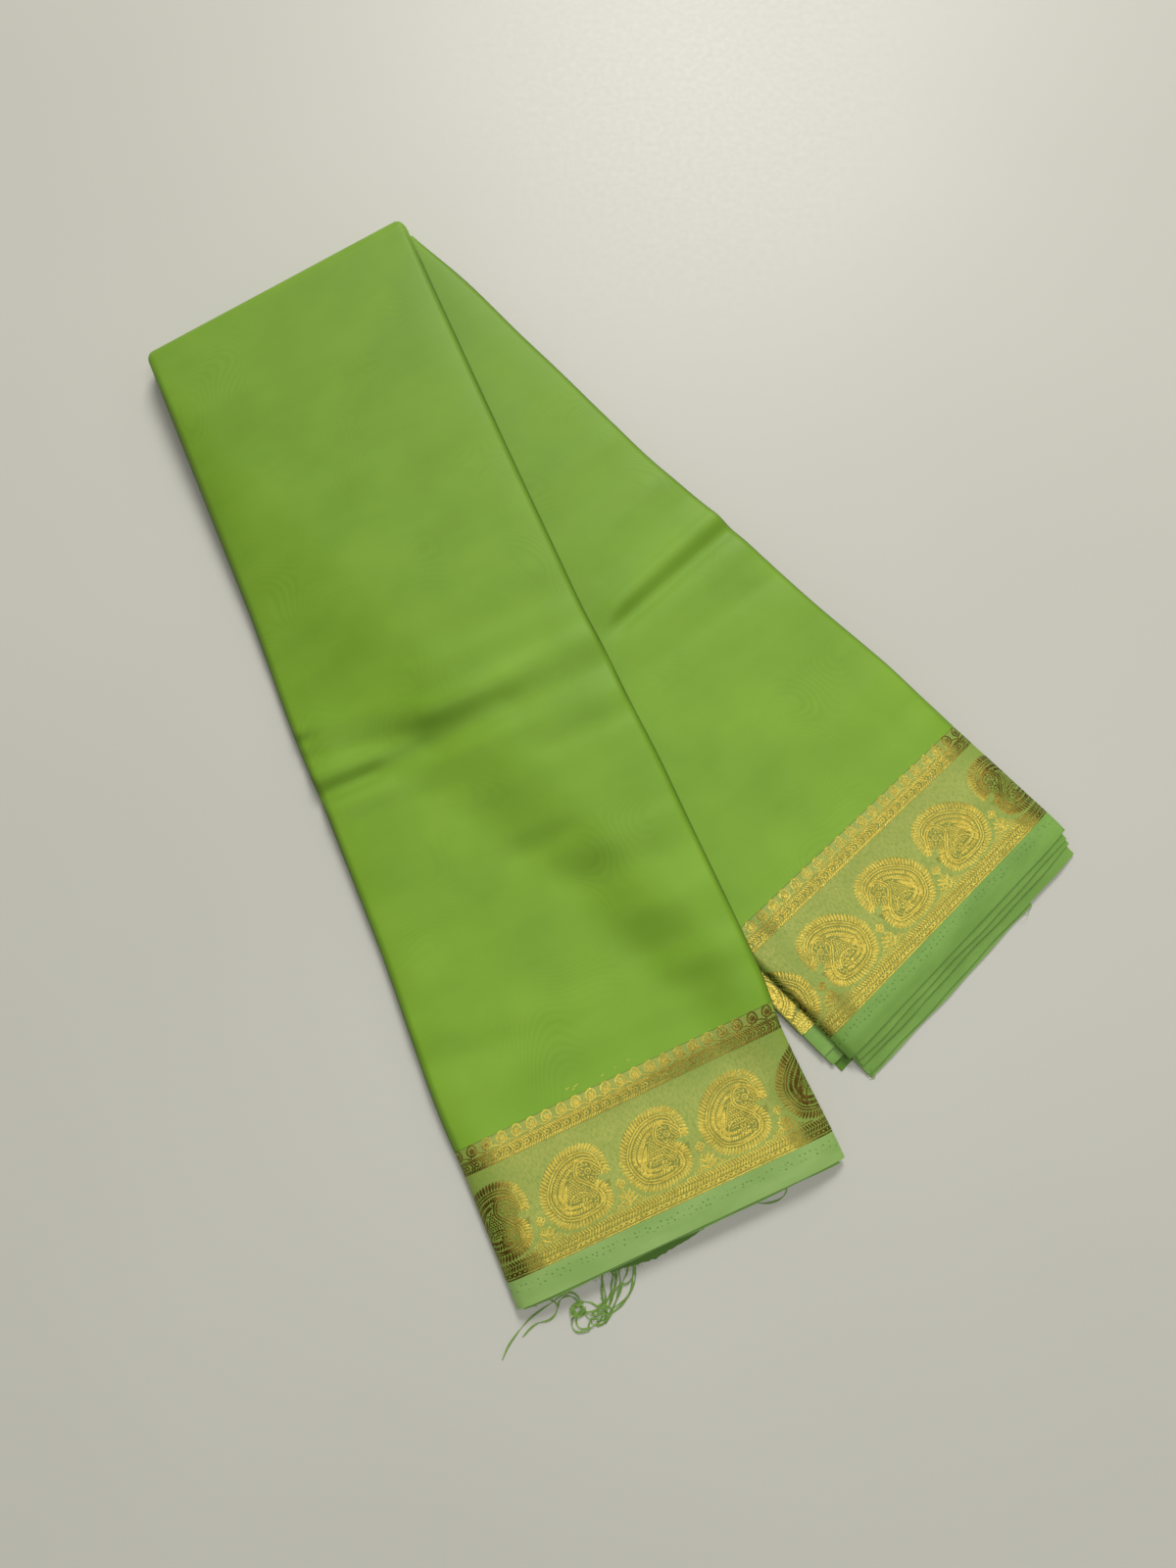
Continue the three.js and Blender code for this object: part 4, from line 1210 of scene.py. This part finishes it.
def strand(path, width, sides=4):
    """A thin thread along points, as rings of a few sides."""
    p = np.array(path, float)
    d = np.gradient(p, axis=0)
    d /= np.linalg.norm(d, axis=1)[:, None]
    flat = np.stack([-d[:, 1], d[:, 0], np.zeros(len(d))], 1)
    flat /= np.maximum(np.linalg.norm(flat, axis=1), 1e-9)[:, None]
    up = np.cross(flat, d)
    turn = np.linspace(0, 2 * math.pi, sides, endpoint=False)
    taper = np.ones(len(p))
    taper[-1] = 0.5
    rings = p[:, None] + (width / 2) * taper[:, None, None] * (
        np.cos(turn)[None, :, None] * flat[:, None] + np.sin(turn)[None, :, None] * up[:, None])
    at = np.arange(len(p) * sides).reshape(len(p), sides)
    ahead = np.roll(at, -1, 1)
    faces = list(np.stack([at[:-1], ahead[:-1], ahead[1:], at[1:]], -1).reshape(-1, 4))
    faces += [tuple(at[0, ::-1]), tuple(at[-1])]
    return rings.reshape(-1, 3), faces


# Threads in the upper leg's own coordinates (s, u), and how high each rides at its middle.
THREADS = [
    ([(-45.8, 601.6), (-48.7, 605.8), (-49.9, 610.2), (-50.6, 614.7), (-54, 618), (-58.6, 619.6)], 1.6),
    ([(-47, 601.6), (-49.4, 606.5), (-51.4, 611), (-52.6, 615.5), (-56, 618.6), (-61, 618.6),
      (-65, 616)], 1.2),
    ([(-43.4, 602), (-43.3, 607), (-46.1, 611.8), (-47.9, 615.9), (-50.8, 619.4), (-54.3, 621.5)], 1.4),
    ([(-42, 602.4), (-42.4, 608), (-45, 613), (-49, 616), (-53, 617), (-56.4, 617.6), (-59, 614.6),
      (-63.1, 612.2)], 0.9),
    ([(-40, 602.8), (-41.6, 608.6), (-44.2, 612.6), (-48.8, 615.4), (-52.4, 619), (-54, 623.5),
      (-55.6, 627.5)], 0.6),
    ([(-38, 603), (-39.6, 607), (-40.8, 612), (-44.6, 616.5), (-48.2, 620.4), (-52, 623),
      (-57.2, 623.8)], 1.1),
    ([(-30, 604), (-31, 608.7), (-34.5, 612), (-37.8, 613.6), (-41.3, 612.7), (-45.4, 614.6), (-48.8, 617.9),
      (-52.8, 621), (-56.9, 621.6)], 0.8),
    ([(-29.6, 605), (-33.5, 611.2), (-35.9, 615.7), (-41.3, 620), (-46.4, 621.3), (-50.6, 621.9)], 1.3),
    ([(-31.4, 604), (-31.6, 610), (-33.8, 614.4), (-38.6, 618.6), (-43.6, 621.8), (-49.6, 623.4),
      (-53, 624.5)], 0.5),
    ([(-33, 603.8), (-35.6, 608.4), (-39, 611.4), (-42.6, 615.6), (-47.4, 619.6), (-51, 623), (-55.6, 626.6),
      (-60.6, 627.1)], 0.9),
    ([(-65.1, 612.2), (-67.8, 612.6), (-70.5, 614.4), (-70.4, 616.2), (-67.2, 617.1), (-64.2, 614.8)], 1.7),
    ([(-63, 612), (-66, 611.4), (-69.6, 613), (-70.8, 616), (-67.6, 618.4), (-64.6, 617),
      (-65.6, 613.6)], 2.1),
    ([(-62.4, 612.8), (-66.8, 612.4), (-69.2, 614.8), (-68, 617.6), (-64.8, 618.6), (-62.6, 615.4)], 1.2),
    ([(-64.5, 617), (-63.2, 621.2), (-59.9, 622.7), (-57.2, 623.8), (-55.4, 621.1), (-57.5, 620.1),
      (-60.8, 618.7)], 1.5),
    ([(-65.6, 616), (-62, 619.4), (-58.4, 621.8), (-54.6, 620.2), (-51.6, 617.4), (-53.6, 614.6)], 1.0),
    ([(-69.2, 616.4), (-72, 619.2), (-72.7, 622.5), (-70.8, 625.3), (-65.1, 627), (-64.5, 624.3),
      (-60.6, 622)], 0.5),
    ([(-68.2, 617), (-70, 620.4), (-69.4, 623.6), (-66.6, 625.4), (-62.4, 625.8), (-57.6, 624.6),
      (-55, 621.4)], 0.7),
    ([(-70.6, 613.6), (-67.4, 612.4), (-64.2, 613.4), (-63.4, 616), (-66.6, 617.6), (-70, 616.4),
      (-69.6, 613.6)], 1.9),
    ([(-69.8, 617.4), (-66.2, 616), (-63.2, 617.2), (-63.8, 613.8), (-67.2, 613.6), (-69.8, 615.4)], 1.4),
    ([(-70.2, 614.6), (-67.8, 616.8), (-65, 615.6), (-66.2, 612.6), (-69, 612.2), (-68.2, 616)], 2.3),
    ([(-61, 620.6), (-57.8, 619), (-54.2, 619.4), (-52.8, 622.4), (-56, 625), (-60, 624.2)], 1.2),
    ([(-60.2, 622), (-56.6, 621.2), (-53.6, 623.6), (-55.8, 626.2), (-60.4, 626.4), (-63, 624)], 1.0),
    ([(-55.4, 617.2), (-51.6, 619.6), (-50.2, 622.8), (-54.4, 625.6), (-58.8, 627)], 0.8),
    ([(-63.8, 612), (-64.5, 608), (-67.2, 605.3), (-71.6, 604.9), (-77.2, 606.1), (-84.2, 607.3),
      (-90.6, 608.7),
      (-95.9, 610.6), (-101.5, 613.4), (-107.6, 617.3), (-112.8, 622.2)], 0.3),
    ([(-81.3, 600.9), (-77.9, 604.6), (-76, 607.8), (-76.4, 610.1), (-78.8, 612.6), (-83.1, 613.7),
      (-88.4, 612.6),
      (-93.3, 613.5), (-98.7, 615.9)], 0.3),
    ([(-64.5, 612), (-66.6, 608.3), (-69.6, 606.4), (-73.8, 607), (-76.6, 610.6)], 0.4),
    ([(-86.4, 600), (-86.9, 603.1), (-86, 605)], 0.3),
    ([(-84.9, 600.6), (-88.1, 604.3)], 0.3),
    ([(36, 594), (40, 602), (45, 605.6), (52, 607.4), (57.6, 606.6), (60.4, 603), (60, 594)], 0.3),
]

# Short ends at two corners of the lower leg's hems (s, u), and the height that each starts from.
SHORT_ENDS = [
    ([(-85, 573), (-87, 575.5), (-87.4, 578.5), (-90.6, 577)], 4.2),
    ([(37, 575), (39, 579.5), (44, 578)], 5.0),
]


# How thick a thread of the bundle is, its two finer twins, the fringe and the ends at the hems.
BUNDLE, TWIN, FRINGE, SHORT = 0.42, 0.3, 0.2, 0.22


def threads():
    """The frayed threads at the cut end, tangled into a loose knot, with a narrow fringe at the edge."""
    verts, faces, count = [], [], 0
    paths = []
    for points, rise in THREADS:
        line = curve(points, 1.3)
        t = np.linspace(0, 1, len(line))
        high = 0.35 + rise * np.sin(np.pi * np.clip(t * 1.1, 0, 1)) ** 2
        paths.append((line, high, BUNDLE))
        for side, wide in ((1, 0.34), (-1, 0.5)):
            twin = line + normals(line) * side * wide * np.sin(t * 9 + rise)[:, None]
            paths.append((twin, 0.3 + 0.8 * (high - 0.35), TWIN))
    for k, x in enumerate(np.arange(-84, -26, 1.3)):
        edge = np.interp(x, *np.array(RAW_EDGE).T)
        reach = 1.2 + 1.4 * abs(math.sin(k * 2.7))
        lean = 0.7 * math.sin(k * 1.7)
        line = np.array([(x, edge - 0.8), (x + lean * 0.4, edge + reach * 0.5), (x + lean, edge + reach)])
        paths.append((line, np.full(3, 0.42), FRINGE))
    paths = [(UPPER, *path) for path in paths]
    for points, start in SHORT_ENDS:
        line = curve(points, 0.8)
        sunk = smooth(np.linspace(0, 1.3, len(line)))
        paths.append((LOWER, line, 0.3 + (start - 0.3) * (1 - sunk), SHORT))
    for leg, line, high, width in paths:
        p = leg_point(leg, line[:, 1], line[:, 0], np.zeros(len(line)))
        p[:, 2] = np.maximum(high, width / 2 + 0.02)
        v, f = strand(p, width)
        verts.append(v)
        faces += [tuple(i + count for i in face) for face in f]
        count += len(v)
    verts = np.concatenate(verts)
    return make("loose_threads", verts, faces, verts[:, :2])


piece(threads(), THREAD, ["frayed_threads"])


# Floor, light and camera


def floor_material():
    n = Nodes("pale_table")
    spot = n.new("TexCoord").outputs["Object"]
    soft = n.noise(spot, 3.0, 2.0)
    fine = n.noise(spot, 260.0, 3.0)
    colour = n.mix(n.spread(soft, 0.3, 0.7), rgb(204, 203, 193), rgb(208, 207, 197))
    return n.finish(Base_Color=colour, Roughness=n.spread(fine, 0.3, 0.7, 0.4, 0.46),
                    Normal=n.bump(fine, 0.00004, 0.3), Specular_IOR_Level=0.35)


bpy.ops.mesh.primitive_plane_add(size=6, location=(0, 0, 0))
floor = bpy.context.object
floor.name = "floor"
paint(floor, floor_material())


def softbox(name, place, aim, size, energy, colour):
    """A rectangular light at a place, aimed at another."""
    light = bpy.data.lights.new(name, "AREA")
    light.shape, light.size, light.size_y = "RECTANGLE", size[0], size[1]
    light.energy, light.color = energy, colour
    obj = bpy.data.objects.new(name, light)
    bpy.context.scene.collection.objects.link(obj)
    way = np.array(aim, float) - np.array(place, float)
    obj.location = place
    obj.rotation_euler = Vector(way).to_track_quat("-Z", "Y").to_euler()
    return obj


WINDOW_WATTS, LAMP_WATTS, LAMP_ANGLE = 91.5, 21, 38.6
softbox("window", (0.32, 2.8, 2.55), (0.0, 0.1, 0.0), (1.6, 1.15), WINDOW_WATTS, (1.0, 0.985, 0.95))
# a long ceiling lamp over the line where the flat gold of both borders mirrors it to the camera
lamp = softbox("ceiling_lamp", (0.35, -0.08, 2.4), (0.35, -0.08, 0.0), (2.2, 0.62), LAMP_WATTS,
               (1.0, 0.99, 0.96))
lamp.rotation_euler = (0, 0, math.radians(LAMP_ANGLE))


# The walls' light fades from one height to another, as a share, from the first strength to the second.
WALL_FADE, WALL_LIGHT = (0.42, 0.68), (0.42, 0.08)


def soft_room():
    """Pale walls all round, brighter than the rest of the room."""
    world = bpy.data.worlds.new("soft_room")
    world.use_nodes = True
    nodes, links = world.node_tree.nodes, world.node_tree.links
    back = nodes["Background"]
    split, height = nodes.new("ShaderNodeSeparateXYZ"), nodes.new("ShaderNodeMapRange")
    links.new(nodes.new("ShaderNodeTexCoord").outputs["Generated"], split.inputs[0])
    links.new(split.outputs[2], height.inputs[0])
    for socket, value in zip(height.inputs[1:5], WALL_FADE + WALL_LIGHT):
        socket.default_value = value
    links.new(height.outputs[0], back.inputs[1])
    back.inputs[0].default_value = (0.9, 0.9, 0.86, 1)
    bpy.context.scene.world = world


soft_room()

# The camera as fitted to the photo, in metres and degrees.
CAMERA_PLACE, CAMERA_TILT = (-0.00333, -0.17282, 0.665), 12.5

camera = bpy.data.cameras.new("camera")
camera.sensor_fit, camera.sensor_height, camera.lens = "VERTICAL", 36.0, 27.05
camera.clip_start = 0.01
eye = bpy.data.objects.new("camera", camera)
eye.location = CAMERA_PLACE
eye.rotation_euler = (math.radians(CAMERA_TILT), 0, 0)
bpy.context.scene.collection.objects.link(eye)
bpy.context.scene.camera = eye
bpy.context.scene.view_settings.view_transform = "Standard"


def plain(box):
    """A box as plain lists."""
    return [[float(v) for v in corner] for corner in box]
